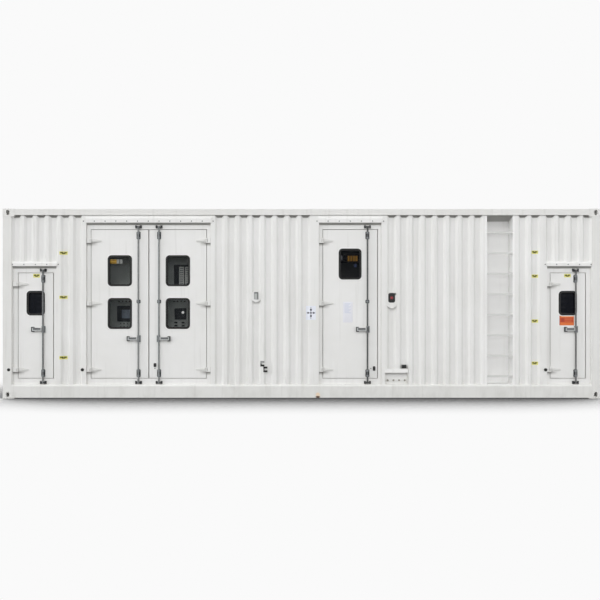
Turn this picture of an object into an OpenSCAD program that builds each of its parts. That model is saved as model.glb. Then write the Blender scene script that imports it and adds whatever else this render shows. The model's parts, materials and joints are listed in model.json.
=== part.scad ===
// Containerized diesel generator set in a 30 ft high cube freight container envelope.
// X runs along the container, the front with its doors faces -Y, Z is up, and the
// origin lies on the ground under the middle of the container. Sizes are millimetres.

/* [Container envelope] */
// Length over the corner castings
container_l = 9125; // [8800:5:9600]
// Width over the corner castings
container_w = 2438; // [2400:1:2500]
// Height over the corner castings
container_h = 2896; // [2860:1:2940]

/* [Corner castings] */
// Length of a casting along the container
casting_l = 178; // [170:1:186]
// Width of a casting across the container
casting_w = 162; // [155:1:170]
// Height of a casting
casting_h = 118; // [112:1:124]
// Thickness of a casting's outer walls
casting_wall = 28; // [20:1:32]
// Thickness of a casting's inner walls
casting_inner_wall = 11; // [8:0.5:12]
// Length of the slot in a casting's top or bottom
slot_l = 124.5; // [100:0.5:128]
// Width of the slot in a casting's top or bottom
slot_w = 63.5; // [50:0.5:70]
// Distance from the container's end to the centre of a slot
slot_inset_x = 103.5; // [98:0.5:108]
// Distance from the container's side to the centre of a slot
slot_inset_y = 89.5; // [84:0.5:94]
// Width of the aperture in a casting's side and end
side_aperture_w = 51; // [40:1:58]
// Height of the aperture in a casting's side and end
side_aperture_h = 79; // [64:1:86]
// Distance from the container's end to the aperture in a casting's side
side_aperture_inset = 78; // [66:1:104]

/* [Frame] */
// How far the rails and posts stand back from the castings
frame_setback = 3; // [2:0.5:6]
// Height of the base rails above the ground clearance
base_rail_h = 176; // [150:1:190]
// Ground clearance under the base rails
ground_gap = 12; // [8:1:20]
// Height of the sloped ledge on top of the base rail
sill_slope_h = 24; // [16:1:32]
// Thickness of the pressed sections
section_t = 6; // [4:0.5:8]
// Depth of the base rail's flanges
rail_flange = 110; // [100:1:130]
// Height of the top rails
top_rail_h = 94; // [80:1:110]
// Drop of the top rails below the castings
top_rail_drop = 6; // [3:1:12]
// Depth of the top rails
top_rail_d = 94; // [80:1:105]
// Width of the corner posts on the long side
post_w = 132; // [120:1:150]
// Depth of the corner posts on the short side
post_d = 150; // [130:1:170]
// Number of cross members under the floor
cross_member_n = 13; // [9:1:17]
// Height of a cross member
cross_member_h = 130; // [110:1:150]
// Width of a cross member's flanges
cross_member_w = 60; // [45:1:80]
// Thickness of the floor plate
floor_t = 28; // [20:1:32]

/* [Walls] */
// Distance from the castings' face back to the crests of the wall
face_setback = 15; // [12:1:18]
// Depth of a corrugation
wave_depth = 36; // [25:1:40]
// Pitch of the corrugations
wave_pitch = 188; // [176:1:200]
// Width of a flat valley
valley_w = 70; // [60:1:76]
// Width of one sloped side of a valley
wave_slope = 35; // [28:1:40]
// Thickness of the insulated lining behind the valleys
lining_t = 50; // [40:1:60]
// Depth of the roof's corrugations
roof_wave_depth = 20; // [12:1:26]
// Pitch of the roof's corrugations
roof_wave_pitch = 209; // [190:1:230]
// Thickness of the roof under its corrugations
roof_t = 52; // [40:1:60]

/* [Doors] */
// Height of the leaves' lower edge
leaf_bottom = 310; // [290:1:330]
// Thickness of a door leaf
leaf_t = 45; // [38:1:50]
// Height from a service leaf's upper edge to the container's top
service_leaf_drop = 982; // [940:1:1060]
// Height from a tall leaf's upper edge to the container's top
tall_leaf_drop = 319; // [300:1:400]
// Width of a service door leaf
service_leaf_w = 532; // [500:1:540]
// Width of one control door leaf
control_leaf_w = 874; // [820:1:880]
// Width of the personnel door leaf
personnel_leaf_w = 829; // [780:1:860]
// Distance from the container's end to the middle of a service door
service_door_inset = 490; // [487:0.5:510]
// Width of the wall strip between the left service door and the control doors
left_strip_w = 359.5; // [350:0.5:400]
// Width of the wall strip between the ladder and the right service door
right_strip_w = 450.5; // [430:0.5:480]
// How far the personnel door stands past the middle between the control doors and the ladder
personnel_shift = 10.5; // [-40:0.5:40]
// Gap between a leaf's edges and its frame
leaf_gap = 8; // [7:0.5:10]
// Extra gap at the latch edge, for the corner that swings past the frame
latch_gap = 11; // [10:0.5:14]
// Gap between the two control door leaves
meeting_gap = 14; // [13:0.5:18]
// Width of the recess beside a service leaf, towards the container's end
service_recess_outer = 80; // [70:1:87]
// Width of the recess beside a service leaf, towards the container's middle
service_recess_inner = 61; // [50:1:64]
// Width of the recess beside the control leaves
control_recess = 68; // [60:1:76]
// Width of the recess beside the personnel leaf
personnel_recess = 62; // [56:1:70]
// Height of the recess over a leaf, up to its sloped soffit
recess_over_leaf = 72; // [68:1:80]
// Rise of the sloped soffit from the back of the recess to its front
soffit_rise = 34; // [24:1:44]
// Width of the flat jamb beside a recess
jamb_w = 48; // [34:1:60]
// Width of the rubber stop behind a leaf's edges
stop_w = 24; // [18:1:30]
// Gap between a closed leaf and its stop
stop_gap = 6; // [5:0.5:8]
// Thickness of the stop
stop_t = 20; // [14:1:26]

/* [Drip caps] */
// Height of the drip cap over a service door
service_cap_h = 68; // [56:1:80]
// Height of the drip cap over a tall door
tall_cap_h = 100; // [88:1:104]
// How far a drip cap runs past the recess at each end
cap_overrun = 20; // [12:1:26]
// How far a drip cap stands proud of the jambs
cap_proud = 13; // [8:1:15]
// Share of a drip cap's height that stands upright, below its slope
cap_upright_share = 0.62; // [0.4:0.01:0.8]
// Slant of a drip cap's ends between its upper and lower edge
cap_slant = 16; // [4:1:24]

/* [Windows] */
// Width of a service door window
service_window_w = 252; // [230:1:300]
// Height of a service door window
service_window_h = 348; // [320:1:410]
// Height of a service door window's middle, as a share of its leaf
service_window_share = 0.714; // [0.69:0.001:0.73]
// Width of a control door window
control_window_w = 344; // [320:1:400]
// Height of a control door window
control_window_h = 446; // [420:1:500]
// Heights of the middles of the control door windows, as shares of their leaf
control_window_share = [0.435, 0.724];
// Width of the personnel door window
personnel_window_w = 322; // [300:1:380]
// Height of the personnel door window's middle, as a share of its leaf
personnel_window_share = 0.769; // [0.75:0.001:0.79]
// Radius of a window's corners
window_r = 46; // [30:1:60]
// Width of the gasket's lip on the leaf
gasket_lip = 14; // [10:1:20]
// Width of the gasket inside the window
gasket_bead = 16; // [10:1:22]
// How far the gasket stands proud of the leaf
gasket_proud = 5; // [3:0.5:8]
// Thickness of the pane
pane_t = 6; // [5:0.5:8]
// Fitting clearance round a pane and its gasket
pane_fit = 0.3; // [0.2:0.05:0.5]
// Width of the edge frame round the back of a leaf
leaf_edge = 40; // [30:1:48]
// Drop of the lining inside a leaf's edge frame
lining_drop = 5; // [3:0.5:8]

/* [Hinges] */
// Height of the lowest hinge above its leaf's lower edge
hinge_rise = 126; // [110:1:150]
// Drop of the highest hinge below its leaf's upper edge
hinge_drop = 169; // [150:1:190]
// Height of a tall door's middle hinge, as a share of its leaf
middle_hinge_share = 0.503; // [0.48:0.001:0.53]
// Radius of a hinge barrel
barrel_r = 12; // [10:0.5:13]
// Height of a hinge barrel
barrel_h = 40; // [32:1:44]
// Gap between a hinge barrel and the lugs above and below it
lug_gap = 2; // [1:0.5:3]
// Height of a hinge lug
lug_h = 16; // [10:1:18]
// Thickness of the block that carries a hinge's lugs
hinge_block_t = 20; // [12:1:24]
// Gap between a hinge block and the side of its recess
hinge_block_gap = 4; // [2:0.5:6]
// Distance from the leaf's edge to a hinge block
hinge_block_clear = 21; // [20:0.5:24]
// Radius of a hinge pin
pin_r = 6; // [5:0.5:7]
// Clearance round a hinge pin
pin_clearance = 0.3; // [0.2:0.05:0.5]
// Distance from the leaf's edge to the hinge axis
hinge_offset = 4; // [3:0.5:5]
// Length of a hinge strap on the leaf
strap_l = 158; // [130:1:180]
// Distance from the leaf's edge to the wide part of a hinge strap
strap_root = 14; // [12:1:20]
// Height of a hinge strap at its wide end
strap_h = 62; // [50:1:70]
// Height of a hinge strap at its tip
strap_tip_h = 22; // [16:1:30]
// Thickness of a hinge strap
strap_t = 8; // [6:0.5:10]
// Length of the bevelled tip of a hinge strap
strap_tip_l = 10; // [6:1:16]
// Distance from the leaf's edge to the raised rib on a hinge strap
rib_start = 26; // [25:1:34]
// Height of the rib on a hinge strap
rib_h = 26; // [18:1:34]
// How far the rib stands off the leaf
rib_rise = 21; // [14:1:22]

/* [Lock rods] */
// Radius of a lock rod
rod_r = 12; // [11:0.5:15]
// Clearance between a lock rod and its guides
rod_clearance = 0.5; // [0.3:0.05:0.8]
// Distance from a leaf's latch edge to its lock rod
rod_inset = 150; // [135:1:165]
// Distance from the leaf's face to the lock rod's axis
rod_standoff = 26; // [25:0.5:28]
// Radius of the space that a cam sweeps
cam_r = 21; // [18:0.5:21]
// Height of a cam
cam_h = 26; // [20:1:34]
// Clearance between a cam and its keeper
keeper_gap = 7; // [6:0.5:9]
// Thickness of a keeper's cheeks
keeper_cheek = 8; // [6:0.5:10]
// Width of a keeper's foot outside its cheek
keeper_foot = 16; // [10:1:20]
// Height of a keeper
keeper_h = 44; // [30:1:48]
// Height of the lower keepers
lower_keeper_z = 242; // [236:1:248]
// Distance from a leaf's top up to the upper keeper
upper_keeper_rise = 45; // [40:1:48]
// Thickness of the feet of keepers, guides and catches
foot_t = 5; // [3:0.5:6]
// How far cheeks and catches reach past the lock rod's axis
cheek_reach = 16; // [12:0.5:20]
// Width of a rod guide's plate
guide_w = 60; // [52:1:66]
// Height of a rod guide's plate
guide_h = 118; // [100:1:130]
// Height of the plate of a guide halfway up a leaf
middle_guide_h = 56; // [48:1:70]
// Radius of the corners of a rod guide's plate
guide_corner = 16; // [6:1:24]
// Height of a saddle on a rod guide
saddle_h = 26; // [16:1:34]
// Wall of a saddle round the lock rod
saddle_wall = 6; // [5:0.5:8]
// Distance from the end of a guide's plate to its saddle
saddle_inset = 8; // [4:1:16]
// Height of the lower rod guides above the leaf's lower edge
lower_guide_rise = 73; // [69:1:90]
// Drop of the upper rod guides below the leaf's upper edge
upper_guide_drop = 86; // [74:1:110]

/* [Handles] */
// Length of a lock rod handle
handle_l = 160; // [150:1:200]
// Height of a lock rod handle
handle_h = 44; // [36:1:52]
// Thickness of a lock rod handle
handle_t = 10; // [8:0.5:12]
// Distance from the lock rod to the handle's front
handle_front = 4; // [2:0.5:5]
// Height of the handle's lower lip
lip_h = 11; // [8:0.5:14]
// How far the lip stands proud of the handle
lip_rise = 5; // [3:0.5:6]
// Distance from the lock rod's axis to the start of the lip
lip_start = 26; // [24:1:34]
// Height of the hub that joins a handle to its rod
hub_h = 66; // [56:1:70]
// Gap between a handle and its catch
catch_gap = 6; // [5:0.5:8]
// Thickness of a catch's arms
catch_arm = 9; // [6:0.5:12]
// Length of a catch's arms
catch_l = 39; // [30:1:48]
// Half of the height of the bracket at a handle's hub
hub_bracket_half = 50; // [48:1:58]
// Distance from the lock rod's axis to the web of the hub bracket
hub_web_x = 25; // [24.5:0.5:28]
// How far the hub bracket's web stays behind the lock rod's axis
hub_web_back = 8; // [8:0.5:12]
// Height of a service door's handle, as a share of its leaf
service_handle_share = 0.4645; // [0.44:0.0005:0.49]
// Height of the personnel door's handle, as a share of its leaf
personnel_handle_share = 0.3286; // [0.31:0.0005:0.35]
// Height of the control doors' handles, as a share of their leaf
control_handle_share = 0.2655; // [0.25:0.0005:0.275]

/* [Ladder] */
// Clear width between the ladder tray's sides
ladder_w = 392; // [360:1:410]
// Depth of the ladder tray
ladder_d = 230; // [200:1:260]
// Thickness of the ladder tray's plates
tray_t = 5; // [4:0.5:8]
// Distance between rungs
rung_pitch = 313.5; // [300:0.5:315]
// Height of the lowest rung
rung_first_z = 338; // [320:1:360]
// Size of a square rung
rung_s = 28; // [22:1:34]
// How far the rungs stand back from the wall's face
rung_setback = 2; // [1:0.5:6]
// Rise of the tray's sloped top from back to front
tray_soffit_rise = 68; // [50:1:80]
// Width of the flat posts beside the ladder
ladder_post_w = 26; // [20:1:34]

/* [End louvres] */
// Width of one louvre bank
louvre_bank_w = 880; // [800:1:940]
// Height from a louvre bank's upper edge to the wall's top
louvre_headroom = 356; // [300:1:420]
// Height of a louvre bank's lower edge
louvre_z0 = 480; // [420:1:520]
// Distance between louvre blades
blade_pitch = 98; // [80:1:120]
// Thickness of a louvre blade
blade_t = 4; // [3:0.5:6]
// Rise of a louvre blade from its outer to its inner edge
blade_rise = 60; // [40:1:70]
// Height of the folded nose on a louvre blade
blade_nose = 12; // [8:1:16]
// Width of a louvre bank's rim
louvre_rim = 24; // [16:1:32]
// How far a louvre bank stands back from the end wall's face
louvre_setback = 4; // [2:0.5:8]
// Width of the upright between two banks
mullion_w = 110; // [90:1:140]

/* [Cabinets] */
// Width of the control cabinet
cabinet_w = 1640; // [1500:1:1700]
// Depth of the control cabinet
cabinet_d = 450; // [400:1:500]
// Height from the cabinets' top to the wall's top
cabinet_headroom = 478; // [400:1:560]
// Distance from the wall's lining to the control cabinet
cabinet_setback = 260; // [200:1:320]
// Width of the machine room cabinet
machine_cabinet_w = 600; // [500:1:700]
// Depth of the machine room cabinet
machine_cabinet_d = 300; // [250:1:350]

/* [Emergency stop] */
// Height of the emergency stop
stop_z = 1537; // [1500:1:1570]
// Width of the emergency stop box
stop_box_w = 104; // [90:1:116]
// Height of the emergency stop box
stop_box_h = 148; // [130:1:160]
// How far the emergency stop box stands proud of its plate
stop_box_t = 4; // [2:0.5:5]
// Radius of the emergency stop box's corners
stop_box_r = 30; // [8:1:36]
// Depth of the boss behind the emergency stop's plate
boss_d = 26; // [24:1:30]
// Wall of the boss round the push button
boss_wall = 7; // [5:0.5:9]
// Clearance between the boss and the plate
boss_clearance = 0.3; // [0.2:0.05:0.5]
// Radius of the push button
button_r = 24; // [20:1:30]
// Travel of the push button
button_travel = 6; // [4:0.5:8]
// Thickness of the push button's head
button_t = 8; // [6:0.5:9]
// Gap round the push button's head
button_gap = 2; // [1:0.5:3]
// Radius of the button's stem
stem_r = 10; // [7:0.5:12]
// Clearance round the button's stem
stem_clearance = 0.3; // [0.2:0.05:0.5]
// Length of the button's stem
stem_l = 22; // [18:1:24]
// Gap behind the pushed button
push_rest = 4; // [2:0.5:5]

/* [Wall covers] */
// Radius of a device plate's round ends
plate_r = 78; // [74:1:84]
// Thickness of a device plate
plate_t = 5; // [3:0.5:6]
// Drop of the lower centre of the emergency stop's plate below the box's middle
stop_plate_drop = 83; // [70:1:96]
// Rise of the upper centre of the emergency stop's plate above the box's middle
stop_plate_rise = 10; // [0:1:24]
// Height of the signal box
signal_z = 1568; // [1540:1:1600]
// Width of the signal box
signal_w = 64; // [54:1:76]
// Height of the signal box's body
signal_h = 112; // [96:1:126]
// Thickness of the signal box
signal_t = 8; // [5:0.5:9]
// Drop of the centre of the signal box's plate below the box's middle
signal_plate_drop = 20; // [10:1:32]
// Middle of the cable entry past the personnel door's frame
entry_offset = 180.5; // [176:0.5:200]
// Width of the cable entry
entry_w = 346; // [300:1:352]
// Height of the cable entry above the base rail's ledge
entry_h = 185; // [150:1:220]
// Depth of the cable entry behind the valleys of the wall
entry_back = 16; // [10:1:30]
// Thickness of the cable entry's plates
entry_t = 4; // [3:0.5:6]
// Height of the hood over the cable entry
hood_h = 56; // [40:1:70]
// How far the hood stands proud of the wall
hood_proud = 10; // [6:1:12]
// Clearance between the cable entry and the wall round it
entry_clearance = 0.3; // [0.2:0.05:0.5]
// Number of cable studs
cable_stud_n = 4; // [2:1:5]
// Radius of a cable stud
cable_stud_r = 12; // [8:0.5:15]
// Length of a cable stud
cable_stud_l = 26; // [14:1:32]
// Height of the cable studs above the base rail's ledge
cable_stud_rise = 64; // [40:1:90]

/* [Wall fittings] */
// Height of the rubber stops on the front
bumper_z = 438; // [420:1:460]
// Radius of a rubber stop
bumper_r = 24; // [18:1:25]
// Thickness of a rubber stop on a jamb
bumper_t = 12; // [8:1:14]
// Thickness of the rubber stop on the corner post
post_bumper_t = 2.5; // [1.5:0.5:3]
// Distance from the corner post's inner edge to its rubber stop
post_bumper_inset = 43; // [30:1:60]
// Width of a hose hook
hook_w = 62; // [50:1:70]
// Height of a hose hook
hook_h = 84; // [70:1:96]
// How far a hose hook stands proud of the wall
hook_t = 9; // [6:1:12]
// Height of the lower hose hook
hook_z = 402; // [396:1:430]
// Gap between the two hose hooks
hook_gap = 3; // [1:0.5:12]
// How far right of the upper hose hook the lower one sits
hook_shift = 46; // [0:1:46]
// Width of the socket over the cable entry
socket_w = 62; // [50:1:68]
// Height of the socket over the cable entry
socket_h = 50; // [40:1:60]
// Height of the socket's middle
socket_z = 487; // [476:1:500]
// How far the socket stands proud of the wall
socket_t = 8; // [4:1:12]

/* [Hidden] */

half_l = container_l / 2;
half_w = container_w / 2;
eps = 1;
$fn = 48;
shell_white = [0.89, 0.89, 0.88];
frame_white = [0.86, 0.86, 0.85];
galvanized = [0.42, 0.42, 0.43];
rubber_black = [0.05, 0.05, 0.06];

// Planes along Y, from the outside in
frame_y = -half_w + frame_setback;
face_y = -half_w + face_setback;
leaf_y = face_y + wave_depth;
inner_y = leaf_y + lining_t;
plate_y = face_y - plate_t;
stop_y = leaf_y + leaf_t + stop_gap;
rod_y = leaf_y - rod_standoff;
hinge_y = leaf_y - 2 * strap_t;

// Levels along Z
rail_top = ground_gap + base_rail_h + sill_slope_h;
floor_top = ground_gap + base_rail_h;
top_rail_top = container_h - top_rail_drop;
wall_top = top_rail_top - top_rail_h;
louvre_bank_h = wall_top - louvre_headroom - louvre_z0;
cabinet_h = wall_top - cabinet_headroom - floor_top;
rung_n = floor((wall_top - tray_soffit_rise - rung_first_z) / rung_pitch) + 1;

// Planes of the emergency stop along Y
stop_front_y = plate_y - stop_box_t;
button_back_y = -half_w + button_t;
button_seat_y = button_back_y + button_travel + push_rest;
boss_r = button_r + boss_wall;

// Edges of the front bays along X, from the ends towards the personnel door
post_inner = half_l - frame_setback - post_w;
left_leaf_x0 = service_door_inset - half_l - service_leaf_w / 2;
left_leaf_x1 = left_leaf_x0 + service_leaf_w;
left_frame_x1 = left_leaf_x1 + service_recess_inner + jamb_w;
control_frame_x0 = left_frame_x1 + left_strip_w;
control_x0 = control_frame_x0 + jamb_w + control_recess;
control_x = control_x0 + control_leaf_w + meeting_gap / 2;
control_x1 = control_x + meeting_gap / 2 + control_leaf_w;
control_frame_x1 = control_x1 + control_recess + jamb_w;
right_leaf_x1 = half_l - service_door_inset + service_leaf_w / 2;
right_leaf_x0 = right_leaf_x1 - service_leaf_w;
right_frame_x0 = right_leaf_x0 - service_recess_inner - jamb_w;
ladder_x1 = right_frame_x0 - right_strip_w;
ladder_x0 = ladder_x1 - ladder_w - 2 * ladder_post_w;
ladder_x = (ladder_x0 + ladder_x1) / 2;
personnel_x = (control_frame_x1 + ladder_x0) / 2 + personnel_shift;
personnel_x0 = personnel_x - personnel_leaf_w / 2;
personnel_x1 = personnel_x + personnel_leaf_w / 2;
personnel_frame_x0 = personnel_x0 - personnel_recess - jamb_w;
personnel_frame_x1 = personnel_x1 + personnel_recess + jamb_w;

// First valleys of the two long panels from their left edges, and the devices on the valleys
middle_first = 85;
right_waves = floor((ladder_x0 - personnel_frame_x1) / wave_pitch);
right_first = (ladder_x0 - personnel_frame_x1 - (right_waves - 1) * wave_pitch) / 2;
stop_x = personnel_frame_x1 + right_first - 4;
signal_x = control_frame_x1 + middle_first + 3 * wave_pitch;
entry_x0 = personnel_frame_x1 + entry_offset - entry_w / 2;
entry_x1 = entry_x0 + entry_w;
entry_top = rail_top + entry_h;

// Levels of the leaves, recesses and caps
service_leaf_top = container_h - service_leaf_drop;
tall_leaf_top = container_h - tall_leaf_drop;
service_leaf_h = service_leaf_top - leaf_bottom;
tall_leaf_h = tall_leaf_top - leaf_bottom;
service_recess_top = service_leaf_top + recess_over_leaf + soffit_rise;
tall_recess_top = tall_leaf_top + recess_over_leaf + soffit_rise;
service_frame_top = service_recess_top + service_cap_h;

// Levels of the windows, hinges, handles, guides and keepers
service_window_z = leaf_bottom + service_window_share * service_leaf_h;
control_window_z = [for (share = control_window_share) leaf_bottom + share * tall_leaf_h];
personnel_window_z = leaf_bottom + personnel_window_share * tall_leaf_h;
service_hinge_z = [leaf_bottom + hinge_rise, service_leaf_top - hinge_drop];
tall_hinge_z = [leaf_bottom + hinge_rise, leaf_bottom + middle_hinge_share * tall_leaf_h,
    tall_leaf_top - hinge_drop];
service_handle_z = leaf_bottom + service_handle_share * service_leaf_h;
personnel_handle_z = leaf_bottom + personnel_handle_share * tall_leaf_h;
control_handle_z = leaf_bottom + control_handle_share * tall_leaf_h;
lower_guide_z = leaf_bottom + lower_guide_rise;
service_guides = [lower_guide_z, service_leaf_top - upper_guide_drop];
tall_guides = [lower_guide_z, (lower_guide_z + tall_leaf_top) / 2, tall_leaf_top - upper_guide_drop];
service_keeper_z = service_leaf_top + upper_keeper_rise;
tall_keeper_z = tall_leaf_top + upper_keeper_rise;

// Lock rods along X
left_rod_x = left_leaf_x1 - rod_inset;
control_rod_x0 = control_x - meeting_gap / 2 - rod_inset;
control_rod_x1 = control_x + meeting_gap / 2 + rod_inset;
personnel_rod_x = personnel_x1 - rod_inset;
right_rod_x = right_leaf_x1 - rod_inset;

// A box from one corner to the other
module block(a, b) {
    translate(a)
        cube(b - a);
}

// A flat outline in X and Z, carried along Y from y0 to y1
module along_y(y0, y1) {
    translate([0, y1, 0])
        rotate([90, 0, 0])
            linear_extrude(y1 - y0)
                children();
}

// A flat outline whose first axis is Y and second is Z, carried along X from x0 to x1
module along_x(x0, x1) {
    translate([x0, 0, 0])
        rotate([90, 0, 90])
            linear_extrude(x1 - x0)
                children();
}

// A copy on each side of the container's long middle plane
module front_and_back() {
    children();
    mirror([0, 1, 0])
        children();
}

// A copy at each end of the container
module both_ends() {
    children();
    mirror([1, 0, 0])
        children();
}

// Rounded rectangle centred on a point
module rounded_rect(w, h, r) {
    cx = w / 2 - r;
    cz = h / 2 - r;
    square([w, h - 2 * r], center = true);
    square([w - 2 * r, h], center = true);
    for (x = [-cx, cx], z = [-cz, cz])
        translate([x, z])
            circle(r);
}

// Slot with round ends, length along the first axis
module slot(l, w) {
    square([l - w, w], center = true);
    for (side = [-1, 1])
        translate([side * (l - w) / 2, 0])
            circle(w / 2);
}

// Corrugated wall from x0 to x1: flat crests in the face plane, n valleys from the first one on
module wave_wall(x0, x1, z0, z1, first, n) {
    edge = valley_w / 2 + wave_slope;
    waves = [for (i = [0:n - 1]) let (c = x0 + first + i * wave_pitch) each
        [[c - edge, face_y], [c - valley_w / 2, leaf_y], [c + valley_w / 2, leaf_y], [c + edge, face_y]]];
    outline = concat([[x0 - edge, inner_y], [x0 - edge, face_y]], waves,
        [[x1 + edge, face_y], [x1 + edge, inner_y]]);
    translate([0, 0, z0])
        linear_extrude(z1 - z0)
            intersection() {
                polygon(outline);
                translate([x0, face_y - eps])
                    square([x1 - x0, inner_y - face_y + 2 * eps]);
            }
}

// Pressed base rail in Y and Z: web, sloped ledge and two flanges
module base_rail_outline() {
    top = rail_top;
    polygon([[frame_y, ground_gap], [frame_y, ground_gap + base_rail_h], [face_y, top], [inner_y, top],
        [inner_y, top - section_t], [face_y + section_t, top - section_t],
        [frame_y + section_t, floor_top],
        [frame_y + section_t, ground_gap + section_t], [frame_y + rail_flange, ground_gap + section_t],
        [frame_y + rail_flange, ground_gap]]);
}

module base_rails() {
    end_x = half_l - frame_setback;
    color(frame_white) {
        difference() {
            front_and_back()
                along_x(-post_inner, post_inner)
                    base_rail_outline();
            casting_space();
        }
        both_ends()
            difference() {
                block([end_x - rail_flange, -half_w + casting_w, ground_gap],
                    [end_x, half_w - casting_w, floor_top - floor_t]);
                block([end_x - rail_flange - eps, -half_w + casting_w - eps, ground_gap + section_t],
                    [end_x - section_t, half_w - casting_w + eps, floor_top - floor_t - section_t]);
            }
    }
}

module cross_members() {
    span = container_l - 2 * casting_l - 2 * cross_member_w;
    pitch = span / (cross_member_n - 1);
    top = floor_top - floor_t;
    reach = -frame_y - rail_flange;
    color(frame_white)
        for (i = [0:cross_member_n - 1])
            translate([-span / 2 + i * pitch - cross_member_w / 2, 0, 0])
                difference() {
                    block([0, -reach, top - cross_member_h], [cross_member_w, reach, top]);
                    block([section_t, -reach - eps, top - cross_member_h + section_t],
                        [cross_member_w + eps, reach + eps, top - section_t]);
                }
}

module floor() {
    y = -frame_y - section_t;
    color([0.45, 0.46, 0.47])
        block([-post_inner, -y, floor_top - floor_t], [post_inner, y, floor_top]);
}

module corner_posts() {
    x = half_l - frame_setback;
    color(frame_white)
        both_ends()
            front_and_back()
                translate([0, 0, casting_h])
                    linear_extrude(container_h - 2 * casting_h)
                        difference() {
                            translate([post_inner, frame_y])
                                square([post_w, post_d]);
                            translate([post_inner + section_t, frame_y + section_t])
                                square([post_w - 2 * section_t, post_d - 2 * section_t]);
                        }
}

// A bottom casting at the front right corner, open below, at the end and at the front
module casting() {
    x1 = half_l;
    y0 = -half_w;
    difference() {
        block([x1 - casting_l, y0, 0], [x1, y0 + casting_w, casting_h]);
        block([x1 - casting_l + casting_inner_wall, y0 + casting_wall, casting_wall],
            [x1 - casting_wall, y0 + casting_w - casting_inner_wall, casting_h - casting_inner_wall]);
        translate([x1 - slot_inset_x, y0 + slot_inset_y, -eps])
            linear_extrude(casting_wall + 2 * eps)
                slot(slot_l, slot_w);
        translate([0, y0 + casting_wall + eps, 0])
            along_y(-casting_wall - 2 * eps, 0)
                translate([x1 - side_aperture_inset, casting_h / 2])
                    rotate(90)
                        slot(side_aperture_h, side_aperture_w);
        translate([x1 - casting_wall - eps, 0, 0])
            along_x(0, casting_wall + 2 * eps)
                translate([y0 + slot_inset_y, casting_h / 2])
                    rotate(90)
                        slot(side_aperture_h, side_aperture_w);
    }
}

// The room that the corner castings take at all eight corners
module casting_space() {
    both_ends()
        front_and_back()
            for (z = [0, container_h - casting_h])
                block([half_l - casting_l, -half_w, z], [half_l, -half_w + casting_w, z + casting_h]);
}

module corner_castings() {
    color(frame_white)
        both_ends()
            front_and_back() {
                casting();
                translate([0, 0, container_h])
                    mirror([0, 0, 1])
                        casting();
            }
}

module top_rails() {
    rail_x = half_l - casting_l;
    rail_end_y = half_w - casting_w;
    x = half_l - frame_setback;
    color(frame_white) {
        front_and_back()
            along_x(-rail_x, rail_x)
                difference() {
                    translate([frame_y, wall_top])
                        square([top_rail_d, top_rail_h]);
                    translate([frame_y + section_t, wall_top + section_t])
                        square([top_rail_d - 2 * section_t, top_rail_h - 2 * section_t]);
                }
        both_ends()
            along_y(-rail_end_y, rail_end_y)
                difference() {
                    translate([x - top_rail_d, wall_top])
                        square([top_rail_d, top_rail_h]);
                    translate([x - top_rail_d + section_t, wall_top + section_t])
                        square([top_rail_d - 2 * section_t, top_rail_h - 2 * section_t]);
                }
    }
}

module roof() {
    x = half_l - frame_setback - top_rail_d;
    y = -frame_y - top_rail_d;
    z1 = top_rail_top;
    z0 = z1 - roof_wave_depth;
    n = floor((2 * x - roof_wave_pitch) / roof_wave_pitch);
    start = -(n - 1) / 2 * roof_wave_pitch;
    flat = roof_wave_pitch / 5;
    waves = [for (i = [0:n - 1]) let (c = start + i * roof_wave_pitch) each
        [[c - 1.5 * flat, z0], [c - 0.5 * flat, z1], [c + 0.5 * flat, z1], [c + 1.5 * flat, z0]]];
    color(shell_white)
        difference() {
            along_y(-y, y)
                polygon(concat([[-x, z0 - roof_t], [-x, z0]], waves, [[x, z0], [x, z0 - roof_t]]));
            casting_space();
        }
}

// Panels over the service doors and the strips beside them
module service_bay_panels() {
    outer_margin = 96;
    over_n = 4;
    strip_n = 2;
    left_w = control_frame_x0 - left_frame_x1;
    right_w = right_frame_x0 - ladder_x1;
    color(shell_white) {
        difference() {
            union() {
                wave_wall(-post_inner, left_frame_x1, service_frame_top, wall_top,
                    left_frame_x1 + post_inner - outer_margin - (over_n - 1) * wave_pitch, over_n);
                wave_wall(right_frame_x0, post_inner, service_frame_top, wall_top, outer_margin, over_n);
            }
            casting_space();
        }
        wave_wall(left_frame_x1, control_frame_x0, rail_top, wall_top, (left_w - wave_pitch) / 2, strip_n);
        wave_wall(ladder_x1, right_frame_x0, rail_top, wall_top, (right_w - wave_pitch) / 2, strip_n);
    }
}

// The two long panels beside the personnel door, with the room for the cable entry cut out
module main_panels() {
    middle_w = personnel_frame_x0 - control_frame_x1;
    color(shell_white) {
        wave_wall(control_frame_x1, personnel_frame_x0, rail_top, wall_top, middle_first,
            floor(middle_w / wave_pitch));
        difference() {
            wave_wall(personnel_frame_x1, ladder_x0, rail_top, wall_top, right_first, right_waves);
            block([entry_x0 - entry_clearance, face_y - eps, rail_top - eps],
                [entry_x1 + entry_clearance, leaf_y + entry_back, entry_top + entry_clearance]);
        }
    }
}

module back_wall() {
    w = 2 * post_inner;
    n = floor(w / wave_pitch) - 1;
    color(shell_white)
        difference() {
            mirror([0, 1, 0])
                wave_wall(-post_inner, post_inner, rail_top, wall_top, (w - (n - 1) * wave_pitch) / 2, n);
            casting_space();
        }
}

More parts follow.
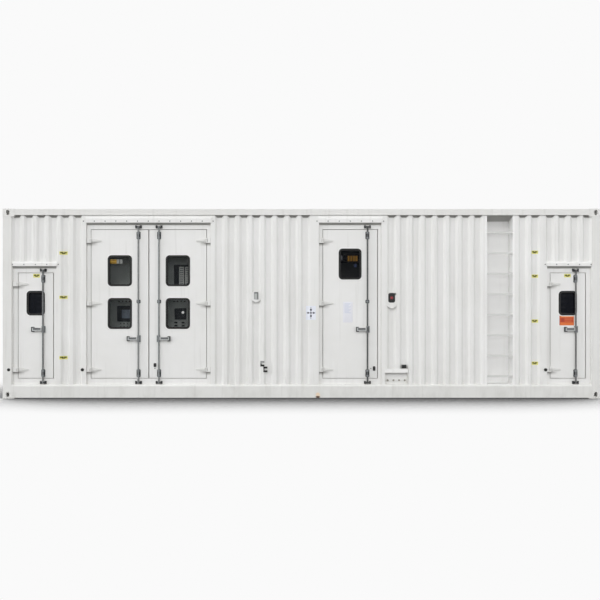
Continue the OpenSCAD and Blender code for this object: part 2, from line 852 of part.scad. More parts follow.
// Door frame from x0 to x1 with a recess r0..r1 and a doorway d0..d1, both stated along X
module door_frame(x0, x1, r0, r1, d0, d1, leaf_top, recess_top, top) {
    way_bottom = leaf_bottom - leaf_gap;
    way_top = leaf_top + leaf_gap;
    back_y = stop_y + stop_t;
    color(shell_white)
        difference() {
            union() {
                block([x0, face_y, rail_top], [x1, inner_y, top]);
                block([d0 - stop_w, inner_y - eps, rail_top],
                    [d1 + stop_w, back_y, way_top + 2 * stop_w]);
            }
            along_x(r0, r1)
                polygon([[face_y - eps, rail_top + eps], [leaf_y, rail_top + eps],
                    [leaf_y, recess_top - soffit_rise], [face_y, recess_top], [face_y - eps, recess_top]]);
            block([d0, leaf_y - eps, way_bottom], [d1, stop_y, way_top]);
            block([d0 + stop_w, leaf_y - eps, way_bottom + stop_w],
                [d1 - stop_w, back_y + eps, way_top - stop_w]);
        }
}

// Fixed halves of a door's hinges, from the hinge edge x of its leaf
module hinge_brackets(x, dir, heights, recess) {
    color(shell_white)
        at_hinge(x, dir)
            for (z = heights)
                hinge_bracket(z, recess - hinge_block_gap);
}

module left_service_frame() {
    door_frame(-post_inner, left_frame_x1, left_leaf_x0 - service_recess_outer,
        left_leaf_x1 + service_recess_inner, left_leaf_x0 - leaf_gap, left_leaf_x1 + latch_gap,
        service_leaf_top, service_recess_top, service_frame_top);
    hinge_brackets(left_leaf_x0, 1, service_hinge_z, service_recess_outer);
}

module control_frame() {
    door_frame(control_frame_x0, control_frame_x1, control_x0 - control_recess, control_x1 + control_recess,
        control_x0 - leaf_gap, control_x1 + leaf_gap, tall_leaf_top, tall_recess_top, wall_top);
    hinge_brackets(control_x0, 1, tall_hinge_z, control_recess);
    hinge_brackets(control_x1, -1, tall_hinge_z, control_recess);
}

module personnel_frame() {
    door_frame(personnel_frame_x0, personnel_frame_x1, personnel_x0 - personnel_recess,
        personnel_x1 + personnel_recess, personnel_x0 - leaf_gap, personnel_x1 + latch_gap,
        tall_leaf_top, tall_recess_top, wall_top);
    hinge_brackets(personnel_x0, 1, tall_hinge_z, personnel_recess);
}

module right_service_frame() {
    door_frame(right_frame_x0, post_inner, right_leaf_x0 - service_recess_inner,
        right_leaf_x1 + service_recess_outer, right_leaf_x0 - leaf_gap, right_leaf_x1 + latch_gap,
        service_leaf_top, service_recess_top, service_frame_top);
    hinge_brackets(right_leaf_x0, 1, service_hinge_z, service_recess_inner);
}

// Sloped cap over a recess from r0 to r1, on the frame's face and between the corner posts
module drip_cap(r0, r1, z, h) {
    nose = face_y - cap_proud;
    x0 = max(r0 - cap_overrun, -post_inner);
    x1 = min(r1 + cap_overrun, post_inner);
    intersection() {
        along_x(x0, x1)
            polygon([[face_y, z], [nose, z], [nose, z + cap_upright_share * h], [face_y, z + h]]);
        along_y(nose - eps, face_y + eps)
            polygon([[x0 + cap_slant, z], [x1 - cap_slant, z], [x1, z + h], [x0, z + h]]);
    }
}

module drip_caps() {
    color(shell_white) {
        drip_cap(left_leaf_x0 - service_recess_outer, left_leaf_x1 + service_recess_inner,
            service_recess_top, service_cap_h);
        drip_cap(control_x0 - control_recess, control_x1 + control_recess, tall_recess_top, tall_cap_h);
        drip_cap(personnel_x0 - personnel_recess, personnel_x1 + personnel_recess,
            tall_recess_top, tall_cap_h);
        drip_cap(right_leaf_x0 - service_recess_inner, right_leaf_x1 + service_recess_outer,
            service_recess_top, service_cap_h);
    }
}

// Wall at the right end, with two openings for the louvre banks
module end_wall() {
    x1 = half_l - face_setback;
    x0 = x1 - wave_depth - lining_t;
    reach = -frame_y - post_d;
    color(shell_white)
        difference() {
            block([x0, -reach, floor_top], [x1, reach, wall_top]);
            for (side = [-1, 1])
                translate([0, side * (mullion_w + louvre_bank_w) / 2, 0])
                    block([x0 - eps, -louvre_bank_w / 2, louvre_z0],
                        [x1 + eps, louvre_bank_w / 2, louvre_z0 + louvre_bank_h]);
        }
}

module end_walls() {
    difference() {
        both_ends()
            end_wall();
        casting_space();
    }
}

// One bank of sloped blades in its rim
module louvre_bank() {
    x1 = half_l - face_setback - louvre_setback;
    x0 = x1 - wave_depth - lining_t + 2 * louvre_setback;
    reach = louvre_bank_w / 2 - louvre_rim;
    z1 = louvre_z0 + louvre_bank_h;
    n = floor((louvre_bank_h - 2 * louvre_rim) / blade_pitch);
    difference() {
        block([x0, -louvre_bank_w / 2, louvre_z0], [x1, louvre_bank_w / 2, z1]);
        block([x0 - eps, -reach, louvre_z0 + louvre_rim], [x1 + eps, reach, z1 - louvre_rim]);
    }
    for (i = [0:n - 1])
        along_y(-reach - eps, reach + eps)
            translate([0, louvre_z0 + louvre_rim + blade_nose + i * blade_pitch])
                louvre_blade(x0 + blade_t, x1 - blade_t);
}

// Section of a blade in X and Z: a nose folded down outside, and a slope that rises inwards
module louvre_blade(x0, x1) {
    polygon([[x1, 0], [x1, -blade_nose], [x1 - blade_t, -blade_nose], [x1 - blade_t, 0],
        [x0, blade_rise], [x0, blade_rise + blade_t], [x1, blade_t]]);
}

module end_louvres() {
    color(shell_white)
        both_ends()
            for (side = [-1, 1])
                translate([0, side * (mullion_w + louvre_bank_w) / 2, 0])
                    louvre_bank();
}

// Tray let into the wall behind the ladder, with the flat posts beside it
module ladder_tray() {
    x0 = ladder_x - ladder_w / 2;
    x1 = ladder_x + ladder_w / 2;
    back = face_y + ladder_d;
    color(shell_white)
        difference() {
            union() {
                block([ladder_x0, face_y, rail_top], [ladder_x1, inner_y, wall_top]);
                block([x0 - tray_t, face_y, rail_top], [x1 + tray_t, back + tray_t, wall_top]);
            }
            along_x(x0, x1)
                polygon([[face_y - eps, rail_top + tray_t], [back, rail_top + tray_t],
                    [back, wall_top - tray_t - tray_soffit_rise], [face_y, wall_top - tray_t],
                    [face_y - eps, wall_top - tray_t]]);
        }
}

module ladder_rungs() {
    x0 = ladder_x - ladder_w / 2;
    color(shell_white)
        for (i = [0:rung_n - 1])
            translate([0, face_y + rung_setback, rung_first_z + i * rung_pitch - rung_s / 2])
                block([x0, 0, 0], [x0 + ladder_w, rung_s, rung_s]);
}

module cabinets() {
    y0 = inner_y + cabinet_setback;
    color([0.55, 0.57, 0.58]) {
        block([control_x - cabinet_w / 2, y0, floor_top],
            [control_x + cabinet_w / 2, y0 + cabinet_d, floor_top + cabinet_h]);
        block([personnel_x - machine_cabinet_w / 2, y0, floor_top],
            [personnel_x + machine_cabinet_w / 2, y0 + machine_cabinet_d, floor_top + cabinet_h]);
    }
}

// Plate with round ends that bridges a valley of the wall, between two centres at z0 and z1
module device_plate(x, z0, z1) {
    along_y(plate_y, face_y) {
        translate([x - plate_r, z0])
            square([2 * plate_r, z1 - z0]);
        for (z = [z0, z1])
            translate([x, z])
                circle(plate_r);
    }
}

// A round bar along Y from y0 to y1 at the emergency stop
module stop_bar(y0, y1, r) {
    translate([stop_x, y1, stop_z])
        rotate([90, 0, 0])
            cylinder(h = y1 - y0, r = r);
}

// Box on its plate, with a boss in the valley behind it that guides the button's stem
module emergency_stop_box() {
    boss_y = face_y + boss_d;
    color(rubber_black)
        difference() {
            union() {
                along_y(stop_front_y, plate_y)
                    translate([stop_x, stop_z])
                        rounded_rect(stop_box_w, stop_box_h, stop_box_r);
                stop_bar(plate_y - eps, boss_y, boss_r);
            }
            stop_bar(stop_front_y - eps, button_seat_y, button_r + button_gap);
            stop_bar(button_seat_y - eps, boss_y + eps, stem_r + stem_clearance);
        }
}

// Mushroom button on its stem, pushed in along Y
module emergency_stop_button() {
    color([0.75, 0.08, 0.06]) {
        stop_bar(button_back_y - button_t, button_back_y, button_r);
        stop_bar(button_back_y - eps, button_back_y + stem_l, stem_r);
    }
}

// Recess for cables: back, sides and top of folded plate, the hood over it and the cable studs
module cable_entry() {
    back = leaf_y + entry_back;
    difference() {
        block([entry_x0, face_y, rail_top], [entry_x1, back, entry_top]);
        block([entry_x0 + entry_t, face_y - eps, rail_top - eps],
            [entry_x1 - entry_t, back - entry_t, entry_top - entry_t]);
    }
    along_x(entry_x0 - entry_t, entry_x1 + entry_t)
        polygon([[face_y, entry_top - entry_t], [face_y - hood_proud, entry_top - entry_t],
            [face_y - hood_proud, entry_top], [face_y, entry_top + hood_h]]);
    for (i = [0:cable_stud_n - 1])
        translate([entry_x0 + (i + 0.5) * entry_w / cable_stud_n, back - entry_t + eps,
            rail_top + cable_stud_rise])
            rotate([90, 0, 0])
                cylinder(h = cable_stud_l + eps, r = cable_stud_r);
}

module wall_covers() {
    color(shell_white) {
        cable_entry();
        device_plate(signal_x, signal_z - signal_plate_drop, signal_z);
        difference() {
            device_plate(stop_x, stop_z - stop_plate_drop, stop_z + stop_plate_rise);
            stop_bar(plate_y - eps, face_y + eps, boss_r + boss_clearance);
        }
    }
}

// Round rubber stop on the plane y, thickness t
module bumper(x, y, t) {
    translate([x, y, bumper_z])
        rotate([90, 0, 0])
            cylinder(h = t, r = bumper_r);
}

// Hose hook with its lower left corner at x and z: a spine with two arms
module hose_hook(x, z, back) {
    arm = hook_h / 3;
    block([x, face_y - hook_t / 2, z], [x + hook_w / 3, back, z + hook_h]);
    for (low = [z, z + hook_h - arm])
        block([x, face_y - hook_t, low], [x + hook_w, face_y, low + arm]);
}

module wall_fittings() {
    crest_x = control_frame_x1 + middle_first + 3.5 * wave_pitch;
    hook_x = crest_x - hook_w / 2;
    socket_x = personnel_frame_x1 + right_first + wave_pitch;
    color(rubber_black) {
        bumper(-post_inner - post_bumper_inset, frame_y, post_bumper_t);
        bumper(control_frame_x0 - 10, face_y, bumper_t);
        bumper(right_frame_x0 + bumper_r, face_y, bumper_t);
        hose_hook(hook_x + hook_shift, hook_z, face_y);
        hose_hook(hook_x, hook_z + hook_h + hook_gap, face_y);
        block([socket_x - socket_w / 2, face_y - socket_t, socket_z - socket_h / 2],
            [socket_x + socket_w / 2, leaf_y, socket_z + socket_h / 2]);
        along_y(plate_y - signal_t, plate_y)
            translate([signal_x, signal_z])
                rounded_rect(signal_w, signal_h, 6);
    }
}

// Puts a door modelled from its hinge edge at 0 onto the hinge edge x, swinging from the left or the right
module at_hinge(x, dir) {
    translate([x, 0, 0])
        mirror([dir < 0 ? 1 : 0, 0, 0])
            children();
}

// Rounded opening through a leaf, grown by a margin
module window_outline(w, h, margin) {
    rounded_rect(w + 2 * margin, h + 2 * margin, window_r + margin);
}

// Tapered strap with a raised rib and the hinge barrel
module hinge_strap(z) {
    neck = barrel_h / 2 - 1;
    tip = strap_l - strap_tip_l;
    along_y(leaf_y - strap_t, leaf_y)
        translate([0, z])
            polygon([[-hinge_offset, -neck], [strap_root, -neck], [strap_root, -strap_h / 2],
                [tip, -strap_tip_h / 2], [strap_l, -strap_tip_h / 4], [strap_l, strap_tip_h / 4],
                [tip, strap_tip_h / 2], [strap_root, strap_h / 2], [strap_root, neck], [-hinge_offset, neck]]);
    translate([0, 0, z - rib_h / 2])
        linear_extrude(rib_h)
            polygon([[rib_start, leaf_y], [rib_start, leaf_y - rib_rise], [strap_l / 2, leaf_y - rib_rise],
                [tip, leaf_y - strap_t], [tip, leaf_y]]);
    translate([-hinge_offset, hinge_y, z])
        cylinder(h = barrel_h, r = barrel_r, center = true);
}

module hinge_bore(z) {
    translate([-hinge_offset, hinge_y, z])
        cylinder(h = strap_h, r = pin_r + pin_clearance, center = true);
}

// Fixed half of a hinge: block on the recessed frame, two lugs and the pin
module hinge_bracket(z, reach) {
    half = barrel_h / 2 + lug_gap + lug_h;
    block([-reach, leaf_y - hinge_block_t, z - half], [-hinge_block_clear, leaf_y + eps, z + half]);
    for (side = [-1, 1])
        translate([0, 0, z + side * (half - lug_h / 2)]) {
            translate([-hinge_offset, hinge_y, 0])
                cylinder(h = lug_h, r = barrel_r, center = true);
            block([-hinge_block_clear - eps, hinge_y - barrel_r, -lug_h / 2],
                [-hinge_offset, leaf_y - strap_t / 2, lug_h / 2]);
        }
    translate([-hinge_offset, hinge_y, z])
        cylinder(h = 2 * half, r = pin_r, center = true);
}

// Saddle round the lock rod at u and z
module saddle(u, z, h) {
    r = rod_r + saddle_wall;
    translate([u, 0, z]) {
        block([-r, rod_y, -h / 2], [r, leaf_y, h / 2]);
        translate([0, rod_y, 0])
            cylinder(h = h, r = r, center = true);
    }
}

// Guide of the lock rod near an end of the leaf, with two saddles
module rod_guide(u, z) {
    along_y(leaf_y - foot_t, leaf_y)
        translate([u, z])
            rounded_rect(guide_w, guide_h, guide_corner);
    for (side = [-1, 1])
        saddle(u, z + side * (guide_h / 2 - saddle_h / 2 - saddle_inset), saddle_h);
}

// Short guide with one saddle, halfway up a tall leaf
module middle_guide(u, z) {
    along_y(leaf_y - foot_t, leaf_y)
        translate([u, z])
            rounded_rect(guide_w, middle_guide_h, guide_corner);
    saddle(u, z, saddle_h);
}

// Catch round the free end of a handle, from its web at u towards the lock rod
module handle_catch(u, z) {
    half = handle_h / 2 + catch_gap;
    block([u, leaf_y - foot_t, z - half - catch_arm], [u + catch_l, leaf_y, z + half + catch_arm]);
    block([u, rod_y - cheek_reach, z - half - catch_arm], [u + keeper_cheek, leaf_y, z + half + catch_arm]);
    for (side = [-1, 1])
        translate([0, 0, z + side * (half + catch_arm / 2)])
            block([u, rod_y - cheek_reach, -catch_arm / 2], [u + catch_l, leaf_y, catch_arm / 2]);
}

// Bracket beside a handle's hub: a web and two saddles that hold the rod over and under the hub
module hub_bracket(u, z) {
    saddle_end = hub_bracket_half - hub_h / 2 - lug_gap;
    block([u - rod_r, leaf_y - foot_t, z - hub_bracket_half],
        [u + hub_web_x + keeper_cheek, leaf_y, z + hub_bracket_half]);
    block([u + hub_web_x, rod_y + hub_web_back, z - hub_bracket_half],
        [u + hub_web_x + keeper_cheek, leaf_y, z + hub_bracket_half]);
    for (side = [-1, 1])
        saddle(u, z + side * (hub_bracket_half - saddle_end / 2), saddle_end);
}

// Leaf from its hinge edge at u = 0 to u = w
module leaf(w, h, hinges, guides, grip_z, window_w, window_h, windows) {
    rod_u = w - rod_inset;
    color(shell_white)
        difference() {
            union() {
                block([0, leaf_y, leaf_bottom], [w, leaf_y + leaf_t, leaf_bottom + h]);
                for (z = hinges)
                    hinge_strap(z);
                for (z = [guides[0], guides[len(guides) - 1]])
                    rod_guide(rod_u, z);
                if (len(guides) == 3)
                    middle_guide(rod_u, guides[1]);
                handle_catch(rod_u - handle_l - catch_gap - keeper_cheek, grip_z);
                hub_bracket(rod_u, grip_z);
            }
            block([leaf_edge, leaf_y + leaf_t - lining_drop, leaf_bottom + leaf_edge],
                [w - leaf_edge, leaf_y + leaf_t + eps, leaf_bottom + h - leaf_edge]);
            for (z = hinges)
                hinge_bore(z);
            for (z = windows)
                along_y(leaf_y - eps, leaf_y + leaf_t + eps)
                    translate([w / 2, z])
                        window_outline(window_w, window_h, 0);
            translate([rod_u, rod_y, leaf_bottom])
                cylinder(h = h, r = rod_r + rod_clearance);
        }
}

// Panes of a leaf's windows, grown by a margin for the groove that holds them
module pane_sheets(w, window_w, window_h, windows, margin) {
    mid = leaf_y + leaf_t / 2;
    for (z = windows)
        along_y(mid - pane_t / 2 - margin, mid + pane_t / 2 + margin)
            translate([w / 2, z])
                window_outline(window_w, window_h, -gasket_bead / 2 + margin);
}

module panes(w, window_w, window_h, windows) {
    color([0.12, 0.13, 0.14, 0.6])
        pane_sheets(w, window_w, window_h, windows, 0);
}

// Rubber gasket round each window of a leaf, lipped over the leaf's face
module gaskets(w, window_w, window_h, windows) {
    color(rubber_black)
        difference() {
            for (z = windows)
                translate([w / 2, 0, z]) {
                    along_y(leaf_y - gasket_proud, leaf_y)
                        difference() {
                            window_outline(window_w, window_h, gasket_lip);
                            window_outline(window_w, window_h, -gasket_bead);
                        }
                    along_y(leaf_y - eps, leaf_y + leaf_t - lining_drop)
                        difference() {
                            window_outline(window_w, window_h, -pane_fit);
                            window_outline(window_w, window_h, -gasket_bead);
                        }
                }
            pane_sheets(w, window_w, window_h, windows, pane_fit);
        }
}

// Lock rod with its cams and handle, the handle lying towards the hinge edge
module lock_rod(w, upper_z, grip_z) {
    rod_u = w - rod_inset;
    bottom = lower_keeper_z - cam_h / 2;
    top = upper_z + cam_h / 2;
    grip_y = -rod_r - handle_front;
    color(galvanized)
        translate([rod_u, rod_y, 0]) {
            translate([0, 0, bottom])
                cylinder(h = top - bottom, r = rod_r);
            for (z = [lower_keeper_z, upper_z])
                translate([0, 0, z])
                    intersection() {
                        cylinder(h = cam_h, r = cam_r, center = true);
                        block([-cam_r, -rod_r, -cam_h / 2], [cam_r, cam_r * 0.8, cam_h / 2]);
                    }
            translate([0, 0, grip_z])
                cylinder(h = hub_h, r = rod_r + saddle_wall, center = true);
            translate([-handle_l, grip_y, grip_z - handle_h / 2]) {
                cube([handle_l, handle_t, handle_h]);
                translate([0, -lip_rise, 0])
                    cube([handle_l - lip_start, lip_rise + eps, lip_h]);
            }
        }
}

// Keeper on the recessed frame: a foot and a cheek on each side, open between them for the cam
module keeper(x, z) {
    half = cam_r + keeper_gap;
    for (side = [-1, 1])
        translate([x, 0, z])
            mirror([side < 0 ? 1 : 0, 0, 0]) {
                block([half, leaf_y - foot_t, -keeper_h / 2],
                    [half + keeper_cheek + keeper_foot, leaf_y, keeper_h / 2]);
                block([half, rod_y - cheek_reach, -keeper_h / 2], [half + keeper_cheek, leaf_y, keeper_h / 2]);
            }
}

module lock_keepers() {
    color(galvanized) {
        for (x = [left_rod_x, right_rod_x], z = [lower_keeper_z, service_keeper_z])
            keeper(x, z);
        for (x = [control_rod_x0, control_rod_x1, personnel_rod_x], z = [lower_keeper_z, tall_keeper_z])
            keeper(x, z);
    }
}

module service_leaf() {
    leaf(service_leaf_w, service_leaf_h, service_hinge_z, service_guides, service_handle_z,
        service_window_w, service_window_h, [service_window_z]);
}

module control_leaf() {
    leaf(control_leaf_w, tall_leaf_h, tall_hinge_z, tall_guides, control_handle_z,
        control_window_w, control_window_h, control_window_z);
}

module left_service_door() {
    at_hinge(left_leaf_x0, 1)
        service_leaf();
}

module left_service_gasket() {
    at_hinge(left_leaf_x0, 1)
        gaskets(service_leaf_w, service_window_w, service_window_h, [service_window_z]);
}

module left_service_pane() {
    at_hinge(left_leaf_x0, 1)
        panes(service_leaf_w, service_window_w, service_window_h, [service_window_z]);
}

module left_service_lock_rod() {
    at_hinge(left_leaf_x0, 1)
        lock_rod(service_leaf_w, service_keeper_z, service_handle_z);
}

module control_door_left() {
    at_hinge(control_x0, 1)
        control_leaf();
}

module control_gaskets_left() {
    at_hinge(control_x0, 1)
        gaskets(control_leaf_w, control_window_w, control_window_h, control_window_z);
}

module control_panes_left() {
    at_hinge(control_x0, 1)
        panes(control_leaf_w, control_window_w, control_window_h, control_window_z);
}

module control_lock_rod_left() {
    at_hinge(control_x0, 1)
        lock_rod(control_leaf_w, tall_keeper_z, control_handle_z);
}

module control_door_right() {
    at_hinge(control_x1, -1)
        control_leaf();
}

module control_gaskets_right() {
    at_hinge(control_x1, -1)
        gaskets(control_leaf_w, control_window_w, control_window_h, control_window_z);
}

module control_panes_right() {
    at_hinge(control_x1, -1)
        panes(control_leaf_w, control_window_w, control_window_h, control_window_z);
}

module control_lock_rod_right() {
    at_hinge(control_x1, -1)
        lock_rod(control_leaf_w, tall_keeper_z, control_handle_z);
}

module personnel_door() {
    at_hinge(personnel_x0, 1)
        leaf(personnel_leaf_w, tall_leaf_h, tall_hinge_z, tall_guides, personnel_handle_z,
            personnel_window_w, control_window_h, [personnel_window_z]);
}

module personnel_gasket() {
    at_hinge(personnel_x0, 1)
        gaskets(personnel_leaf_w, personnel_window_w, control_window_h, [personnel_window_z]);
}

module personnel_pane() {
    at_hinge(personnel_x0, 1)
        panes(personnel_leaf_w, personnel_window_w, control_window_h, [personnel_window_z]);
}

module personnel_lock_rod() {
    at_hinge(personnel_x0, 1)
        lock_rod(personnel_leaf_w, tall_keeper_z, personnel_handle_z);
}

module right_service_door() {
    at_hinge(right_leaf_x0, 1)
        service_leaf();
}

module right_service_gasket() {
    at_hinge(right_leaf_x0, 1)
        gaskets(service_leaf_w, service_window_w, service_window_h, [service_window_z]);
}

module right_service_pane() {
    at_hinge(right_leaf_x0, 1)
        panes(service_leaf_w, service_window_w, service_window_h, [service_window_z]);
}

module right_service_lock_rod() {
    at_hinge(right_leaf_x0, 1)
        lock_rod(service_leaf_w, service_keeper_z, service_handle_z);
}

base_rails();
cross_members();
floor();
corner_posts();
corner_castings();
top_rails();
roof();
main_panels();
service_bay_panels();
left_service_frame();
control_frame();
personnel_frame();
right_service_frame();
drip_caps();
lock_keepers();
ladder_tray();
ladder_rungs();
back_wall();
end_walls();
end_louvres();
cabinets();
emergency_stop_box();
emergency_stop_button();
wall_covers();
wall_fittings();
left_service_door();
left_service_gasket();
left_service_pane();
left_service_lock_rod();
control_door_left();
control_gaskets_left();
control_panes_left();
control_lock_rod_left();
control_door_right();
control_gaskets_right();
control_panes_right();
control_lock_rod_right();
personnel_door();
personnel_gasket();
personnel_pane();
personnel_lock_rod();
right_service_door();
right_service_gasket();
right_service_pane();
right_service_lock_rod();
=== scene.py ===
import json
from functools import partial, reduce
import bpy
import numpy as np
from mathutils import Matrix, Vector


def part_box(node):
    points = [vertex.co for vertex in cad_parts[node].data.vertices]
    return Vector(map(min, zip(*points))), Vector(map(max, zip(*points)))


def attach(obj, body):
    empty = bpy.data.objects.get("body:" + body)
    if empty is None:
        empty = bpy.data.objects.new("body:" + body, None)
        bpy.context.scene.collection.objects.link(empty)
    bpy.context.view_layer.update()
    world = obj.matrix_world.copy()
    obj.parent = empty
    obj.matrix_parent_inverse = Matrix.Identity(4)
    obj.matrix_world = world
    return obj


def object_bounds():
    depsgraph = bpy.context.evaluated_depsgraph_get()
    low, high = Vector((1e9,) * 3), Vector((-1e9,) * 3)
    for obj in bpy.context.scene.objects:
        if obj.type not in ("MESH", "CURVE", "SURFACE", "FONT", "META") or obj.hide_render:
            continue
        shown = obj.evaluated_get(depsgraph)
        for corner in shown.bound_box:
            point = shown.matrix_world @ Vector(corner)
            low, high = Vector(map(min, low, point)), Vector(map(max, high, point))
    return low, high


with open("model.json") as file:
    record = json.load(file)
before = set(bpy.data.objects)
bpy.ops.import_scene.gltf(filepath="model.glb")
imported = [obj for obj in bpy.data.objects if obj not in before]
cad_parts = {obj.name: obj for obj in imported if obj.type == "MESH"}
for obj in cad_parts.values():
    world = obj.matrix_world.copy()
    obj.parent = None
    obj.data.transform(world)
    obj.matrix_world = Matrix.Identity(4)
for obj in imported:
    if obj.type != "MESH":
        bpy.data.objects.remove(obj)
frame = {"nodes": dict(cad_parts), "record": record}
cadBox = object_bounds()
nodes = frame["nodes"]

view = {"x": -0.027, "distance": 12.0, "height": 1.503, "pictureWidth": 9.148,    # metres
        "sensor": 36.0, "farthest": 200.0}    # millimetres of the camera's sensor, metres that it sees
lighting = {
    "skyStrength": 2.23,           # soft white boxes all round, low down
    "skyHeights": (0.15, 0.60),    # they fade between these heights of a direction, 0 level and 1 overhead
    "zenithShare": 0.20,           # what is left of them overhead
    "lamps": {   # degrees above the ground, round to the right, and across for soft edges: the front one is
                 # broad and weak, and the side one picks out the folds of the walls
        "front": {"strength": 0.76, "elevation": 42.0, "angle": -12.0, "softness": 26.0},
        "side": {"strength": 0.58, "elevation": 16.0, "angle": -71.0, "softness": 24.0},
    },
    "backdrop": "#FAFAFA",
    "floorHalf": 60.0,             # metres from the middle of the floor to its edges
    "floorBounce": "#565654",      # what the ground sends back to undersides
    "shadowReach": 2.6,            # metres that the contact shadow reaches out
    "shadow": ((0.40, "#4A4A4A"), (0.56, "#696969"), (0.61, "#8C8C8C"), (0.71, "#CDCDCD"), (0.765, "#EBEBEB"),
               (0.81, "#FAFAFA")),    # shade of the floor by the share of the sky that it sees
}


def toLinear(hexColour):
    # sRGB hex to linear: c/12.92 below 0.04045, otherwise ((c + 0.055) / 1.055) to the power 2.4
    c = np.array([int(hexColour[i:i + 2], 16) for i in (1, 3, 5)]) / 255.0
    c = np.where(c <= 0.04045, c / 12.92, ((c + 0.055) / 1.055) ** 2.4)
    return (float(c[0]), float(c[1]), float(c[2]), 1.0)


shortNames = {   # Blender's node, its settings, the sockets for the values in turn, and the output given back
    "blend": ("Mix", {"data_type": "RGBA"}, (0, 6, 7), 2),    # share, first and second colour
    "ramp": ("MapRange", {}, range(5), 0),    # value, where it is 0, where it is 1, other ends if wanted
    "noise": ("TexNoise", {}, ("Vector", "Scale", "Detail", "Roughness"), 0),
    "crystals": ("TexVoronoi", {}, ("Vector", "Scale"), "Color"),
    "stretch": ("Mapping", {}, ("Vector", "Scale"), 0),
    "place": ("TexCoord", {}, (), "Object"),
    "label": ("UVMap", {"uv_map": "surfaceUv"}, (), 0),
    "axes": ("SeparateXYZ", {}, (0,), slice(3)),
    "shelter": ("AmbientOcclusion", {}, ("Distance",), "AO"),
    "facing": ("NewGeometry", {}, (), "Normal"),
}


def addNode(tree, kind, *values, **settings):
    # adds one node and gives back its output. A value is a socket to link, a number, or a hex colour, in the
    # order of the sockets or in a dictionary by their names; a kind in capitals is an operation of Math
    usual = ("Math", {"operation": kind}, range(3), 0) if kind.isupper() else (kind, {}, range(9), 0)
    blenderName, preset, sockets, given = shortNames.get(kind, usual)
    node = tree.nodes.new("ShaderNode" + blenderName)
    for key, setting in {**preset, **settings}.items():
        setattr(node, key, setting)
    byName = values and isinstance(values[0], dict)
    for key, value in (values[0].items() if byName else zip(sockets, values)):
        if isinstance(value, bpy.types.NodeSocket):
            tree.links.new(value, node.inputs[key])
        else:
            node.inputs[key].default_value = toLinear(value) if isinstance(value, str) else value
    return node.outputs[given] if len(node.outputs) else None


def blankMaterial(name):
    # a material with nothing in it, and the call that adds a node to it
    material = bpy.data.materials.new(name)
    material.use_nodes = True
    material.node_tree.nodes.clear()
    return material, partial(addNode, material.node_tree)


def cameraLikeRays(add):
    # 1 where a ray comes from the camera, a mirror-like surface or through glass
    path = add("LightPath").node.outputs
    seen = add("MAXIMUM", path["Is Camera Ray"], path["Is Glossy Ray"])
    return add("MAXIMUM", seen, path["Is Transmission Ray"])


def buildWorld():
    # the sky's strength falls with the height z of its direction, from full at 9 degrees to its share at 37
    world = bpy.data.worlds.new("studioWorld")
    bpy.context.scene.world = world
    world.use_nodes = True
    world.node_tree.nodes.clear()
    add = partial(addNode, world.node_tree)
    height = add("axes", add("TexCoord"))[2]
    full = lighting["skyStrength"]
    strength = add("ramp", height, *lighting["skyHeights"], full, full * lighting["zenithShare"],
                   interpolation_type="SMOOTHSTEP")
    sky = add("Background", "#FFFFFF", strength)
    backdrop = add("Background", lighting["backdrop"], 1.0)
    add("OutputWorld", add("MixShader", cameraLikeRays(add), sky, backdrop))
    print("sky built")


def buildFloor():
    # a wide flat grid, pale to the eye, with a soft shadow where the container hides the sky
    material, add = blankMaterial("paintedStudioFloor")
    shade = add("ValToRGB", add("shelter", lighting["shadowReach"], samples=8))
    steps = shade.node.color_ramp.elements
    for between in lighting["shadow"][1:-1]:
        steps.new(between[0])
    for step, (at, grey) in zip(steps, lighting["shadow"]):
        step.position, step.color = at, toLinear(grey)
    glow = add("Emission", shade, 1.0)
    lit = add("BsdfDiffuse", lighting["floorBounce"])
    add("OutputMaterial", add("MixShader", cameraLikeRays(add), lit, glow))
    along = np.linspace(-lighting["floorHalf"], lighting["floorHalf"], 9)
    u, v = np.meshgrid(along, along)
    gridMesh("studioFloor", np.stack([u, v, np.full_like(u, -0.0005)], axis=-1), material)
    print("floor built")


def buildCameraAndLamps():
    # a level camera square to the front: its focal length is the sensor times distance over picture width
    scene = bpy.context.scene
    lens = bpy.data.cameras.new("frontCamera")
    camera = bpy.data.objects.new("frontCamera", lens)
    scene.collection.objects.link(camera)
    camera.location = (view["x"], cadBox[0].y - view["distance"], view["height"])
    camera.rotation_euler = (np.pi / 2, 0, 0)
    lens.sensor_width = view["sensor"]
    lens.lens = view["sensor"] * view["distance"] / view["pictureWidth"]
    lens.clip_end = view["farthest"]
    scene.camera = camera
    for name, lamp in lighting["lamps"].items():
        light = bpy.data.lights.new(name + "Light", "SUN")
        light.energy = lamp["strength"]
        light.angle = np.radians(lamp["softness"])
        sun = bpy.data.objects.new(name + "Light", light)
        scene.collection.objects.link(sun)
        up, turn = np.radians(lamp["elevation"]), np.radians(lamp["angle"])
        towards = Vector((np.cos(up) * np.sin(turn), -np.cos(up) * np.cos(turn), np.sin(up)))
        sun.rotation_euler = towards.to_track_quat("Z", "Y").to_euler()
    print("camera and", len(lighting["lamps"]), "lamps placed")


